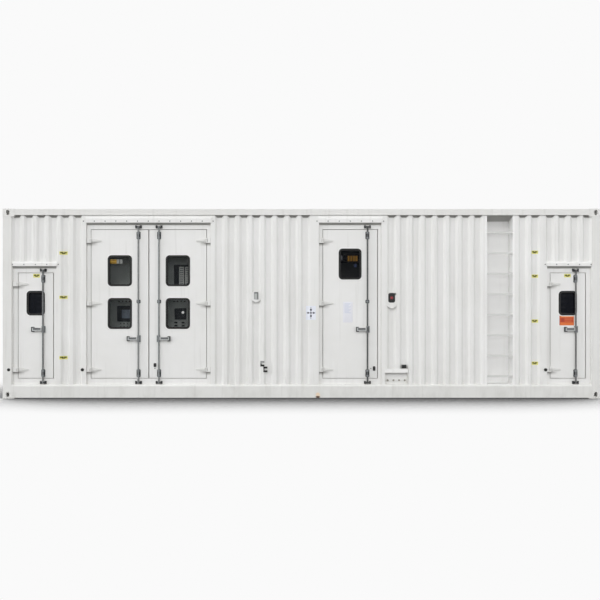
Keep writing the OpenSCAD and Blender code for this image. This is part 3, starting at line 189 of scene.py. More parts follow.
def meshFromArrays(name, points, quads, tris, uv, material):
    # points (n, 3); quads (a, 4) and tris (b, 3) of point numbers; uv (n, 2), one pair for each point
    mesh = bpy.data.meshes.new(name)
    loops = np.concatenate([quads.reshape(-1), tris.reshape(-1)]).astype(np.int32)
    sizes = np.concatenate([np.full(len(quads), 4), np.full(len(tris), 3)]).astype(np.int32)
    starts = np.concatenate([[0], np.cumsum(sizes)[:-1]]).astype(np.int32)
    mesh.vertices.add(len(points))
    mesh.vertices.foreach_set("co", points.astype(np.float32).reshape(-1))
    mesh.loops.add(len(loops))
    mesh.loops.foreach_set("vertex_index", loops)
    mesh.polygons.add(len(sizes))
    mesh.polygons.foreach_set("loop_start", starts)
    mesh.update(calc_edges=True)
    layer = mesh.uv_layers.new(name="surfaceUv")
    layer.data.foreach_set("uv", uv[loops].astype(np.float32).reshape(-1))
    mesh.validate()
    mesh.set_sharp_from_angle(angle=np.radians(38))    # sharper edges than this stay crisp
    mesh.materials.append(material)
    obj = bpy.data.objects.new(name, mesh)
    bpy.context.scene.collection.objects.link(obj)
    return obj


def manyCopies(name, points, quads, tris, uv, material, body):
    # points (copies, n, 3) and uv (copies, n, 2): the same quads and tris join the points of each copy
    copies, each = points.shape[:2]
    shift = (np.arange(copies) * each)[:, None, None]
    piece = meshFromArrays(name, points.reshape(-1, 3), (quads[None] + shift).reshape(-1, 4),
                           (tris[None] + shift).reshape(-1, 3), uv.reshape(-1, 2), material)
    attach(piece, body)
    return piece


def gridMesh(name, points, material):
    # points (rows, columns, 3): quads join each point to its neighbours along both parameters
    rows, cols = points.shape[:2]
    n = np.arange(rows * cols).reshape(rows, cols)
    quads = np.stack([n[:-1, :-1], n[:-1, 1:], n[1:, 1:], n[1:, :-1]], axis=-1).reshape(-1, 4)
    u, v = np.meshgrid(np.linspace(0, 1, cols), np.linspace(0, 1, rows))
    uv = np.stack([u, v], axis=-1).reshape(-1, 2)
    return meshFromArrays(name, points.reshape(-1, 3), quads, np.zeros((0, 3), int), uv, material)


def ringSolids(name, rings, uv, material, body):
    # rings (copies, steps, around, 3): each copy is a closed skin through its rings, and a fan of
    # triangles to the ring's middle closes both ends. uv has the same shape with 2 numbers a point.
    copies, steps, around = rings.shape[:3]
    points = np.concatenate([rings.reshape(copies, -1, 3), rings[:, [0, -1]].mean(axis=2)], axis=1)
    pointUv = np.concatenate([uv.reshape(copies, -1, 2), uv[:, [0, -1]].mean(axis=2)], axis=1)
    step, turn = np.meshgrid(np.arange(steps - 1), np.arange(around), indexing="ij")
    a = step * around + turn
    b = step * around + (turn + 1) % around
    quads = np.stack([a, b, b + around, a + around], axis=-1).reshape(-1, 4)
    t = np.arange(around)
    nextT = (t + 1) % around
    last = (steps - 1) * around
    first = np.stack([nextT, t, np.full(around, steps * around)], axis=-1)
    final = np.stack([last + t, last + nextT, np.full(around, steps * around + 1)], axis=-1)
    return manyCopies(name, points, quads, np.concatenate([first, final]), pointUv, material, body)


def domes(name, centres, profile, material, body, around=12):
    # turned heads facing -Y: at each step the radius r and the height h of the profile give
    # centre + (r cos a, -h, r sin a) for a full turn of the angle a
    centres = np.asarray(centres, float).reshape(-1, 1, 1, 3)
    profile = np.asarray(profile, float)
    angle = np.linspace(0, 2 * np.pi, around, endpoint=False)
    c, s = np.cos(angle), np.sin(angle)
    r, h = profile[:, :1], profile[:, 1:]
    rings = centres + np.stack([r * c, -h + 0 * angle, r * s], axis=-1)[None]
    uv = np.broadcast_to(np.stack([0.5 + 0.5 * c, 0.5 + 0.5 * s], axis=-1), rings.shape[:3] + (2,))
    return ringSolids(name, rings, uv, material, body)


def boltHead(radius, rise, steps):
    # profile of a domed head: at the share k of the rise the radius is the square root of 1 - 0.93 k squared
    k = np.linspace(0, 1, steps)
    return np.stack([radius * np.sqrt(1 - 0.93 * k ** 2), rise * k], axis=-1)


def panels(name, centres, sizes, thick, corner, material, body, around=40, soften=0.25):
    # rounded plates facing -Y: the outline is a superellipse |x/a|^n + |z/b|^n = 1 whose power n grows as
    # the corner gets smaller; rings go from the back, up the edge, over a soft shoulder to the front
    centres = np.asarray(centres, float).reshape(-1, 3)
    sizes = np.broadcast_to(np.asarray(sizes, float), (len(centres), 2))
    half = sizes / 2
    power = np.clip(2.2 * half.min(axis=1) / max(corner, 1e-5), 2.2, 40.0)[:, None]
    angle = (np.arange(around) + 0.5) * 2 * np.pi / around
    c, s = np.cos(angle)[None], np.sin(angle)[None]
    x = half[:, :1] * np.sign(c) * np.abs(c) ** (2 / power)
    z = half[:, 1:] * np.sign(s) * np.abs(s) ** (2 / power)
    edge = np.minimum(thick * soften, half.min(axis=1) * 0.5)[:, None]
    rings, uvs = [], []
    # each ring lies inside the outline by a share of the edge, and in front by a share of the thickness
    for inset, depth in ((0.0, 0.0), (0.0, 1 - soften), (0.6, 0.93), (1.6, 1.0)):
        fx = 1 - inset * edge / half[:, :1]
        fz = 1 - inset * edge / half[:, 1:]
        rings.append(np.stack([x * fx, np.full_like(x, -thick * depth), z * fz], axis=-1))
        uvs.append(np.stack([0.5 + x * fx / sizes[:, :1], 0.5 + z * fz / sizes[:, 1:]], axis=-1))
    rings = np.stack(rings, axis=1) + centres[:, None, None, :]
    return ringSolids(name, rings, np.stack(uvs, axis=1), material, body)


def plateFrom(name, spec, material, face, body="root"):
    # one rounded plate with its back at y = face, from its edges along X and Z
    (x0, x1), (z0, z1) = spec["x"], spec["z"]
    panels(name, [((x0 + x1) / 2, face, (z0 + z1) / 2)], (x1 - x0, z1 - z0), spec["thick"], spec["corner"],
           material, body)


def loopFrames(name, centres, size, corner, width, depth, material, body, around=96, across=8):
    # rounded rectangular rings facing -Y: an ellipse of the given width and depth is carried round four
    # quarter turns of the corner radius, joined by straight runs, its wide axis along the outline's normal
    centres = np.asarray(centres, float).reshape(-1, 1, 1, 3)
    quarter = np.repeat(np.arange(4), around // 4)
    turn = (np.tile(np.linspace(0, 1, around // 4), 4) + quarter) * np.pi / 2
    normal = np.stack([np.cos(turn), np.sin(turn)], axis=-1)
    corners = np.array([[1, 1], [-1, 1], [-1, -1], [1, -1]])[quarter] * (np.asarray(size) / 2 - corner)
    b = np.linspace(0, 2 * np.pi, across, endpoint=False)
    spread = width / 2 * np.cos(b)[None, :, None]
    out = (corners + corner * normal)[:, None, :] + normal[:, None, :] * spread
    y = np.broadcast_to(-depth / 2 * (np.sin(b) + 1), out.shape[:2])
    points = np.stack([out[..., 0], y, out[..., 1]], axis=-1)[None] + centres
    i, j = np.meshgrid(np.arange(around), np.arange(across), indexing="ij")
    nextI, nextJ = (i + 1) % around * across, (j + 1) % across
    quads = np.stack([i * across + j, i * across + nextJ, nextI + nextJ, nextI + j], axis=-1).reshape(-1, 4)
    points = points.reshape(len(centres), -1, 3)
    uv = np.stack([i / around, j / across], axis=-1).reshape(1, -1, 2)
    uv = np.broadcast_to(uv, points.shape[:2] + (2,))
    return manyCopies(name, points, quads, np.zeros((0, 3), int), uv, material, body)


# places on the container: Y of its front faces, and its leaves with the way each turns from its hinge
front = cadBox[0].y
cadLevels = {"castingFace": front, "frameFace": front + 0.003, "plateFace": front + 0.010,
             "wallFace": front + 0.015, "leafFace": front + 0.051, "shellInside": -1.1}
tallLeaf = {"turns": 1, "width": 0.874, "grip": 0.912, "rodTones": ("#8B8E8F", "#707374"),
            "glass": "greyTintedGlass"}
serviceLeaf = {"turns": 1, "width": 0.532, "grip": 1.055, "glass": "deepTintedGlass"}
leaves = {
    "left_service_door": {**serviceLeaf, "gasket": "left_service_gasket", "pane": "left_service_pane",
                          "rod": "left_service_lock_rod", "rodTones": ("#77797A", "#5E6061")},
    "control_door_left": {**tallLeaf, "gasket": "control_gaskets_left", "pane": "control_panes_left",
                          "rod": "control_lock_rod_left"},
    "control_door_right": {**tallLeaf, "gasket": "control_gaskets_right", "pane": "control_panes_right",
                           "rod": "control_lock_rod_right", "turns": -1},
    "personnel_door": {**tallLeaf, "gasket": "personnel_gasket", "pane": "personnel_pane", "width": 0.829,
                       "rod": "personnel_lock_rod", "rodTones": ("#585A5A", "#454747"), "grip": 1.055,
                       "glass": "darkTintedGlass"},
    "right_service_door": {**serviceLeaf, "gasket": "right_service_gasket", "pane": "right_service_pane",
                           "rod": "right_service_lock_rod", "rodTones": ("#707071", "#585858")},
}
rodInset = 0.150    # from a leaf's free edge in to the middle of its lock rod


def leafLine(door, along):
    # X of the upright line at a distance from a leaf's hinge edge: its window rubber is in its middle
    low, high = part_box(leaves[door]["gasket"])
    return (low.x + high.x) / 2 + leaves[door]["turns"] * (along - leaves[door]["width"] / 2)


def rodLine(door):
    # X of the middle of a leaf's lock rod
    return leafLine(door, leaves[door]["width"] - rodInset)


def noiseOf(add, place, cell, detail=3.0, stretch=(1, 1, 1)):
    # cloudy pattern with cells of the given size in millimetres, squeezed along the axes by stretch
    return add("noise", add("stretch", place, stretch), 1000.0 / cell, detail, 0.55)


def patches(add, place, cell, low, high, detail=4.0, stretch=(1, 1, 1)):
    # the same pattern drawn as patches: 0 where it is under low, 1 where it is over high
    return add("ramp", noiseOf(add, place, cell, detail, stretch), low, high)


def inBand(add, value, low, high, soft=0.004):
    # 1 between low and high, with edges as soft as the given length
    above = add("ramp", value, low - soft, low + soft)
    return add("MULTIPLY", above, add("ramp", value, high + soft, high - soft))


def wash(add, colour, tone, pattern, share):
    # one tone laid over a colour where the pattern is 1, by the given share
    return add("blend", add("MULTIPLY", pattern, share), colour, tone)


def sumOfSquares(add, dx, dz):
    # dx times dx plus dz times dz
    return add("ADD", add("MULTIPLY", dx, dx), add("MULTIPLY", dz, dz))


def finishMaterial(add, colour, roughness, bump=None, height=0.0, fixed=None):
    # one Principled shader; bump is a height pattern and height its real height in metres
    inputs = {"Base Color": colour, "Roughness": roughness, **(fixed or {})}
    if bump is not None:
        inputs["Normal"] = add("Bump", {"Distance": height, "Height": bump})
    add("OutputMaterial", add("BsdfPrincipled", inputs))


paint = {   # sizes of patterns in millimetres, reaches and heights in metres, shares from 0 to 1
    "fresh": "#E9E9E8", "faded": "#E3E3E1", "cloud": 769, "satin": (0.40, 0.52),
    # the dark tone is soot in the streaks and splashes, and painted shade in the deepest corners
    "sootAndShade": "#8C8980", "streak": 61.7, "streakShare": 0.16,        # rain streaks, twenty times as long
    "splash": 143, "splashLevels": (0.5, 0.02), "splashShare": 0.22,
    # a dusty tone laid by ambient occlusion, partly dust and partly painted shade in sheltered spots; the
    # corner share is painted shade
    "dust": "#DEDBD2", "shelterReach": 0.06, "cornerShadeShare": 0.45,
    # painted shade: the tone for what faces down and under the hinges
    "shadeTone": "#77756F", "downShadeSlopes": (-0.2, -0.77), "downShadeShare": 0.68,
    # painted shadow of the top rail in the valleys: its tone, slope, depths and share
    "lee": "#878682", "railShadowSlope": 0.95, "railShadowDepths": (0.003, 0.045), "railShadowShare": 0.9,
    "peel": 6.67, "peelHeight": 0.00018,    # orange peel is about 2 mm across, drawn wider to show up close
}
rust = [   # a run from under the middle of the front rail: the pale halo first, then the dark spot
    {"x": 0.246, "z": 0.056, "half": (0.036, 0.040), "tone": "#E9CFAE", "share": 0.75},
    {"x": 0.244, "z": 0.024, "half": (0.034, 0.018), "tone": "#4A2A16", "share": 0.95},
]
# where the painted shadow under each hinge lies
hinges = {
    "groups": [   # leaves with hinges at the same levels, and the share of their height at a middle hinge
        (["control_door_left", "control_door_right", "personnel_door"], [0.503]),
        (["left_service_door", "right_service_door"], []),
    ],
    "rise": 0.126, "drop": 0.169,    # lowest hinge up from the leaf's foot, highest one down from its top
    "half": 0.034,                   # from a hinge's middle down to its lower edge
    "beside": (-0.082, -0.076), "fade": (0.11, 0.0), "tall": 0.050, "share": 0.8,
}


def hingeShade(add, x, y, z):
    # painted shadow under each hinge, only in the door recesses: full beside the leaf, fading out along the
    # strap and downwards
    spots = []
    for doors, middles in hinges["groups"]:
        low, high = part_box(doors[0])
        levels = [low.z + hinges["rise"], high.z - hinges["drop"]]
        levels += [low.z + share * (high.z - low.z) for share in middles]
        besides = []
        for door in doors:
            along = add("MULTIPLY", add("SUBTRACT", x, leafLine(door, 0)), leaves[door]["turns"])
            near = add("ramp", along, *hinges["beside"])
            besides.append(add("MULTIPLY", near, add("ramp", along, *hinges["fade"])))
        beside = reduce(partial(add, "MAXIMUM"), besides)
        for edge in np.array(levels) - hinges["half"]:
            under = add("MULTIPLY", add("ramp", z, edge - hinges["tall"], edge - 0.006),
                        add("ramp", z, edge + 0.005, edge))
            spots.append(add("MULTIPLY", beside, under))
    inside = inBand(add, y, cadLevels["wallFace"] + 0.004, cadLevels["shellInside"], 0.001)
    return add("MULTIPLY", reduce(partial(add, "MAXIMUM"), spots), inside)


def sprayedPaint(add, fresh=paint["fresh"], faded=paint["faded"], dustShare=0.5, leeUnder=None, hinged=False,
                 rustSpots=()):
    # two-pack polyurethane topcoat sprayed over steel plate: satin, faint orange peel, a dusty tone that is
    # partly painted shade in sheltered spots, painted shade in the deepest corners and on what faces down,
    # thin grey streaks down the plate and road dirt along the bottom
    place = add("place")
    x, y, z = add("axes", place)
    cloud = noiseOf(add, place, paint["cloud"], 4.0)
    colour = add("blend", add("ramp", cloud, 0.35, 0.68), fresh, faded)
    streaks = patches(add, place, paint["streak"], 0.56, 0.80, 3.0, (1, 1, 0.05))
    colour = wash(add, colour, paint["sootAndShade"], streaks, paint["streakShare"])
    splashes = add("MULTIPLY", add("ramp", z, *paint["splashLevels"]),
                   patches(add, place, paint["splash"], 0.45, 0.75, 5.0, (1, 1, 0.5)))
    colour = wash(add, colour, paint["sootAndShade"], splashes, paint["splashShare"])
    # painted shade from ambient occlusion: the dusty tone in sheltered spots, partly dust, and the dark tone
    # in the deepest corners
    shelteredShade = add("ramp", add("shelter", paint["shelterReach"], samples=4), 0.70, 0.15)
    colour = wash(add, colour, paint["dust"], shelteredShade, dustShare)
    colour = wash(add, colour, paint["sootAndShade"], add("ramp", shelteredShade, 0.65, 1.0), paint["cornerShadeShare"])
    # painted shade on what faces down: full from 50 degrees down on
    down = add("ramp", add("axes", add("facing"))[2], *paint["downShadeSlopes"])
    colour = wash(add, colour, paint["shadeTone"], down, paint["downShadeShare"])
    if leeUnder:
        # painted shadow of the top rail, reaching down each valley by a share of how far the valley lies
        # behind the wall's face
        behind = add("SUBTRACT", -cadLevels["wallFace"], add("ABSOLUTE", y))
        reach = add("SUBTRACT", add("MULTIPLY", behind, paint["railShadowSlope"]), add("SUBTRACT", leeUnder, z))
        lee = add("MULTIPLY", add("ramp", reach, -0.004, 0.004), inBand(add, behind, *paint["railShadowDepths"]))
        colour = wash(add, colour, paint["lee"], lee, paint["railShadowShare"])
    # painted shadow under the hinges
    if hinged:
        colour = wash(add, colour, paint["shadeTone"], hingeShade(add, x, y, z), hinges["share"])
    for spot in rustSpots:
        dx = add("DIVIDE", add("SUBTRACT", x, spot["x"]), spot["half"][0])
        dz = add("DIVIDE", add("SUBTRACT", z, spot["z"]), spot["half"][1])
        ragged = add("ADD", sumOfSquares(add, dx, dz), add("MULTIPLY", noiseOf(add, place, 16.7, 4.0), 0.9))
        onFront = add("LESS_THAN", y, cadLevels["shellInside"])
        colour = wash(add, colour, spot["tone"], add("MULTIPLY", add("ramp", ragged, 1.7, 0.9), onFront),
                      spot["share"])
    return colour, add("ramp", cloud, 0.3, 0.7, *paint["satin"]), noiseOf(add, place, paint["peel"], 1.0)


def topcoat(name, **options):
    # the sprayed paint as a material of its own
    material, add = blankMaterial(name)
    finishMaterial(add, *sprayedPaint(add, **options), paint["peelHeight"])
    return material


leafSteel = {   # heights above the leaf's face and distances along it in metres
    "strapReach": 0.163, "proud": 0.0003, "raised": 0.0056, "handleHalf": 0.10, "besideRod": 0.035,
    "guide": ("#33363A", "#888C8E"), "catch": ("#A9ACAC", "#2B2D2F"),    # base plate, what is raised on it
    # the hinge straps' darker tone is painted shade of their ribs
    "hub": "#8A8E90", "worn": "#4A4D50", "strap": "#CFCFCC", "strapShare": 0.6,
}


def leafCoat(door):
    # the same topcoat, with the rod guides, the handle catch and the hub bracket in galvanised steel:
    # they stand proud of the leaf, further from the hinge edge than the straps reach
    leaf = leaves[door]
    material, add = blankMaterial(door + "Coat")
    colour, rough, peel = sprayedPaint(add, dustShare=0.45, hinged=True)
    place = add("place")
    x, y, z = add("axes", place)
    proud = add("LESS_THAN", y, cadLevels["leafFace"] - leafSteel["proud"])
    raised = add("LESS_THAN", y, cadLevels["leafFace"] - leafSteel["raised"])
    along = add("MULTIPLY", add("SUBTRACT", x, leafLine(door, 0)), leaf["turns"])
    beyond = add("GREATER_THAN", along, leafSteel["strapReach"])
    fitting = add("MULTIPLY", proud, beyond)
    atHandle = inBand(add, z, leaf["grip"] - leafSteel["handleHalf"], leaf["grip"] + leafSteel["handleHalf"])
    atRod = add("GREATER_THAN", along, leaf["width"] - rodInset - leafSteel["besideRod"])
    guide = add("blend", raised, *leafSteel["guide"])
    catch = add("blend", raised, *leafSteel["catch"])
    zinc = add("blend", atHandle, guide, add("blend", atRod, catch, leafSteel["hub"]))
    zinc = wash(add, zinc, leafSteel["worn"], patches(add, place, 18.2, 0.35, 0.75, 2.0), 0.35)
    # painted shade: the hinge straps on the leaf are drawn darker than the leaf
    strap = add("MULTIPLY", proud, add("SUBTRACT", 1.0, beyond))
    colour = wash(add, colour, leafSteel["strap"], strap, leafSteel["strapShare"])
    finishMaterial(add, add("blend", fitting, colour, zinc), add("MULTIPLY_ADD", fitting, 0.12, rough), peel,
                   paint["peelHeight"], {"Metallic": add("MULTIPLY", fitting, 0.35)})
    return material


rodSteel = {"handleHalf": 0.045, "tubeHalf": 0.0128, "cam": "#313436", "handle": ("#C4C6C6", "#A7AAAA")}


def lockRodCoat(door):
    # galvanised tube, dulled by grease and handling, with a bright pressed handle and nearly black cams:
    # the handle lies beside the rod at its own level, the cams stand out beside the rod elsewhere
    leaf = leaves[door]
    material, add = blankMaterial(leaf["rod"] + "Zinc")
    place = add("place")
    x, z = add("axes", place)[::2]
    beside = add("ABSOLUTE", add("SUBTRACT", x, rodLine(door)))
    atHandle = inBand(add, z, leaf["grip"] - rodSteel["handleHalf"], leaf["grip"] + rodSteel["handleHalf"])
    cloud = noiseOf(add, place, 33.3, 4.0)
    cam = add("MULTIPLY", add("GREATER_THAN", beside, rodSteel["tubeHalf"]), add("SUBTRACT", 1.0, atHandle))
    colour = add("blend", add("ramp", cloud, 0.35, 0.7), *leaf["rodTones"])
    colour = add("blend", cam, colour, rodSteel["cam"])
    bright = add("blend", patches(add, place, 22.2, 0.4, 0.75, 3.0), *rodSteel["handle"])
    colour = add("blend", add("MULTIPLY", add("ramp", beside, 0.014, 0.018), atHandle), colour, bright)
    rough = add("MULTIPLY_ADD", cloud, 0.25, 0.34)
    finishMaterial(add, colour, rough, noiseOf(add, place, 4.17, 2.0), 0.00012, {"Metallic": 0.3})
    return material


fittings = {
    "signal": {"x": -0.695, "z": 1.568, "half": 0.040, "foot": 0.08, "rim": "#6C6E6E", "lid": "#B4B6B5",
               "lidX": (-0.027, 0.014), "lidZ": (-0.075, 0.034)},
    "hooks": {"x": (-0.64, -0.515), "worn": [(0.530, 0.590, "#8F9190"), (0.430, 0.454, "#7C7E7D")]},
}


def fittingsCoat():
    # moulded rubber and plastic: black, but the signal box is grey with a dark rim, and the hose hooks
    # are a weathered grey with paler worn tops
    material, add = blankMaterial("mouldedFittings")
    place = add("place")
    x, z = add("axes", place)[::2]
    colour = add("blend", patches(add, place, 55.6, 0.32, 0.7), "#121212", "#1E1E1D")
    s = fittings["signal"]
    box = add("MULTIPLY", inBand(add, x, s["x"] - s["half"], s["x"] + s["half"]),
              add("GREATER_THAN", z, s["z"] - s["foot"]))
    lid = add("MULTIPLY", inBand(add, x, s["x"] + s["lidX"][0], s["x"] + s["lidX"][1], 0.006),
              inBand(add, z, s["z"] + s["lidZ"][0], s["z"] + s["lidZ"][1], 0.008))
    colour = add("blend", box, colour, add("blend", lid, s["rim"], s["lid"]))
    for low, high, tone in fittings["hooks"]["worn"]:
        band = add("MULTIPLY", inBand(add, x, *fittings["hooks"]["x"]), inBand(add, z, low, high, 0.006))
        colour = add("blend", band, colour, tone)
    rough = add("ramp", noiseOf(add, place, 38.5), 0.3, 0.7, 0.52, 0.66)
    finishMaterial(add, colour, rough, noiseOf(add, place, 3.57, 2.0), 0.0001)
    return material


def buttonCoat():
    # glossy moulded polyamide, deep red with a worn paler middle: r is the distance from the stem's axis
    low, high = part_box("emergency_stop_button")
    material, add = blankMaterial("mouldedPolyamideRed")
    place = add("place")
    x, z = add("axes", place)[::2]
    dx = add("SUBTRACT", x, (low.x + high.x) / 2)
    dz = add("SUBTRACT", z, (low.z + high.z) / 2)
    r = add("SQRT", sumOfSquares(add, dx, dz))
    colour = add("blend", add("ramp", r, 0.010, 0.022), "#A83A42", "#5A1219")
    colour = wash(add, colour, "#3C1014", patches(add, place, 16.7, 0.4, 0.7, 3.0), 0.3)
    finishMaterial(add, colour, 0.32, noiseOf(add, place, 3.33, 2.0), 0.00005)
    return material


def galvanisedSteel():
    # hot-dip zinc weathered to a dull grey: crystals some 10 mm across, half matt, brighter where rubbed
    material, add = blankMaterial("hotDipZinc")
    place = add("place")
    spangle = add("SeparateColor", add("crystals", place, 1000.0 / 10.5))
    colour = add("blend", spangle, "#8A8E90", "#74787A")
    grime = patches(add, place, 38.5, 0.48, 0.72, 5.0)
    colour = wash(add, colour, "#55534E", grime, 0.5)
    rough = add("MULTIPLY_ADD", grime, 0.25, 0.42)
    finishMaterial(add, colour, rough, noiseOf(add, place, 4.17, 2.0), 0.00012, {"Metallic": 0.45})
    return material


def treadPlate():
    # hot-rolled chequer plate under grey floor paint: raised lozenges on a 30 mm lattice, turned about by
    # rows. In each cell a lozenge is (a du)^2 + (b dv)^2 < 1, with a and b changing places from cell to cell
    material, add = blankMaterial("chequerPlatePaint")
    place = add("place")
    x, y = add("axes", place)[:2]
    pitch = 0.030
    across, cells = [], []
    for diagonal in (add("ADD", x, y), add("SUBTRACT", x, y)):
        u = add("DIVIDE", diagonal, pitch)
        cells.append(add("FLOOR", u))
        across.append(add("SUBTRACT", add("SUBTRACT", u, cells[-1]), 0.5))
    odd = add("PINGPONG", add("ADD", *cells), 1.0)
    wide = add("MULTIPLY_ADD", odd, 3.6, 2.2)
    tall = add("SUBTRACT", 8.0, wide)
    far = sumOfSquares(add, add("MULTIPLY", across[0], wide), add("MULTIPLY", across[1], tall))
    lozenge = add("ramp", far, 1.1, 0.55)
    colour = add("blend", patches(add, place, 333, 0.35, 0.7), "#74777A", "#5E6164")
    finishMaterial(add, wash(add, colour, "#A2A4A5", lozenge, 0.35), 0.55, lozenge, 0.0012)
    return material


surfaces = {   # light and dark tone, patch in mm, roughness, height and width of the grain in mm, and other
    # values. The real grain is under 1 mm wide: it is drawn 3 to 5 mm wide so that it shows up close
    # baked powder, moulded polycarbonate, moulded fittings: half matt, softly shining, dull and dusty
    "greyPowderCoat": ("#B9BFBB", "#ABB1AD", 400, 0.48, 0.15, 3.85, {}),
    "mouldedPolycarbonateBlack": ("#111112", "#1A1A1B", 50, 0.42, 0.12, 3.13, {}),
    "mouldedRubberFittings": ("#242424", "#30302F", 55.6, 0.6, 0.1, 3.57, {}),
    # extruded rubber of the window seals: nearly black, matt, hardly shining
    "epdmRubber": ("#1B1B1B", "#262625", 83.3, 0.62, 0.1, 3.33, {"Specular IOR Level": 0.35}),
    # galvanised keepers black with grease, and bolts whose zinc has gone dull
    "greasedZinc": ("#3A3D3F", "#2C2E30", 45.5, 0.5, 0.1, 3.85, {"Metallic": 0.3}),
    "weatheredZinc": ("#5B5F61", "#474A4C", 71.4, 0.5, 0.1, 3.85, {"Metallic": 0.35}),
    # pressed aluminium, painted over: pale and smooth, paler than the walls as a painted highlight round the
    # windows
    "paleLipHighlight": ("#F2F2F1", "#E9E9E8", 111, 0.4, 0.1, 5, {}),
    # moulded plastics: one bleached by the sun, one black and softly shining
    "greyGreenPlastic": ("#7F8883", "#6C746F", 25, 0.5, 0.1, 3.33, {}),
    "instrumentPlastic": ("#15181B", "#1E2226", 50, 0.4, 0.1, 3.33, {}),
    # float glass over a screen, and moulded acrylic of small lamps: both glossy
    "displayGlass": ("#93A2B2", "#7F8D9C", 167, 0.2, 0.02, 5, {}),
    "lampLens": ("#7C2620", "#641D18", 20, 0.25, 0.03, 5, {}),
    # moulded caps: pale grey, chalky
    "greyRubberCaps": ("#A3A29A", "#85847C", 25, 0.6, 0.1, 3.57, {}),
}


def plainSurface(name):
    # moulded or coated surface: two close tones in patches, and a fine even grain
    light, dark, patch, roughness, height, grain, fixed = surfaces[name]
    material, add = blankMaterial(name)
    place = add("place")
    cloud = noiseOf(add, place, patch, 4.0)
    rough = add("ramp", cloud, 0.3, 0.7, roughness - 0.05, roughness + 0.07)
    finishMaterial(add, add("blend", add("ramp", cloud, 0.32, 0.7), light, dark), rough,
                   noiseOf(add, place, grain, 2.0), height / 1000, fixed)
    return material


glass = {   # clear and hazy tone, share of the light that the tint holds back at each face, how it mirrors
    "greyTintedGlass": ("#10151A", "#1C2226", 0.22, 0.16),     # instruments show through it
    "darkTintedGlass": ("#07080C", "#0F1014", 0.54, 0.08),     # only what is lit shows through it
    "deepTintedGlass": ("#0F1118", "#15181F", 0.90, 0.07),     # nearly black
}


def tintedGlass(name):
    # grey tinted safety glass set in rubber: dark from outside, lets a little light through, mirror smooth
    clear, hazy, cover, mirror = glass[name]
    material, add = blankMaterial(name)
    place = add("place")
    colour = add("blend", patches(add, place, 455, 0.4, 0.75, 3.0, (1, 1, 0.6)), clear, hazy)
    rough = add("MULTIPLY_ADD", patches(add, place, 111, 0.5, 0.8), 0.07, 0.03)
    finishMaterial(add, colour, rough, fixed={"Alpha": cover, "IOR": 1.52, "Specular IOR Level": mirror})
    return material


def printedLabel(name, field, mark, bars, faded, roughness=0.45):
    # printed vinyl, slightly curled and yellowed: a plain field with solid bars, each given as
    # left, right, bottom and top in shares of the label, and a tone where it isn't the mark's
    material, add = blankMaterial(name)
    u, v = add("axes", add("label"))[:2]
    place = add("place")
    colour = wash(add, field, faded, patches(add, place, 55.6, 0.35, 0.75), 0.25)
    for left, right, low, high, *own in bars:
        inside = add("MULTIPLY", inBand(add, u, left, right, 0.008), inBand(add, v, low, high, 0.008))
        colour = add("blend", inside, colour, own[0] if own else mark)
    finishMaterial(add, colour, roughness, noiseOf(add, place, 16.7, 2.0), 0.0002)
    return material


balanceMark = {   # millimetres from the middle of the label
    "core": 17.0, "shaft": 3.6,
    "upright": {"middle": 47.0, "half": 24.0, "wide": 17.0, "reach": 90.0},
    "level": {"middle": 42.0, "half": 20.0, "wide": 16.0, "reach": 66.0},
}


def arrowLabel(size):
    # white vinyl with the plain balance point mark: four arrows round a middle point. With a and b the
    # distances along and beside an arrow, its head is |a - middle|/half + b/wide < 1, and its shaft runs on
    # outwards, b < shaft
    material, add = blankMaterial("balancePointVinyl")
    u, v = add("axes", add("label"))[:2]
    place = add("place")
    a, b = [add("MULTIPLY", add("ABSOLUTE", add("SUBTRACT", share, 0.5)), 1000 * long)
            for share, long in ((u, size[0]), (v, size[1]))]
    mask = add("LESS_THAN", add("ADD", a, b), balanceMark["core"])
    for along, off, arrow in ((b, a, balanceMark["upright"]), (a, b, balanceMark["level"])):
        far = add("DIVIDE", add("ABSOLUTE", add("SUBTRACT", along, arrow["middle"])), arrow["half"])
        head = add("LESS_THAN", add("ADD", far, add("DIVIDE", off, arrow["wide"])), 1.0)
        shaft = add("MULTIPLY", add("LESS_THAN", off, balanceMark["shaft"]),
                    add("LESS_THAN", along, arrow["reach"]))
        mask = add("MAXIMUM", mask, add("MAXIMUM", head, shaft))
    colour = add("blend", patches(add, place, 55.6, 0.35, 0.75), "#E8EBF3", "#DFE3EC")
    finishMaterial(add, add("blend", mask, colour, "#20253F"), 0.42, noiseOf(add, place, 16.7, 2.0), 0.0002)
    return material


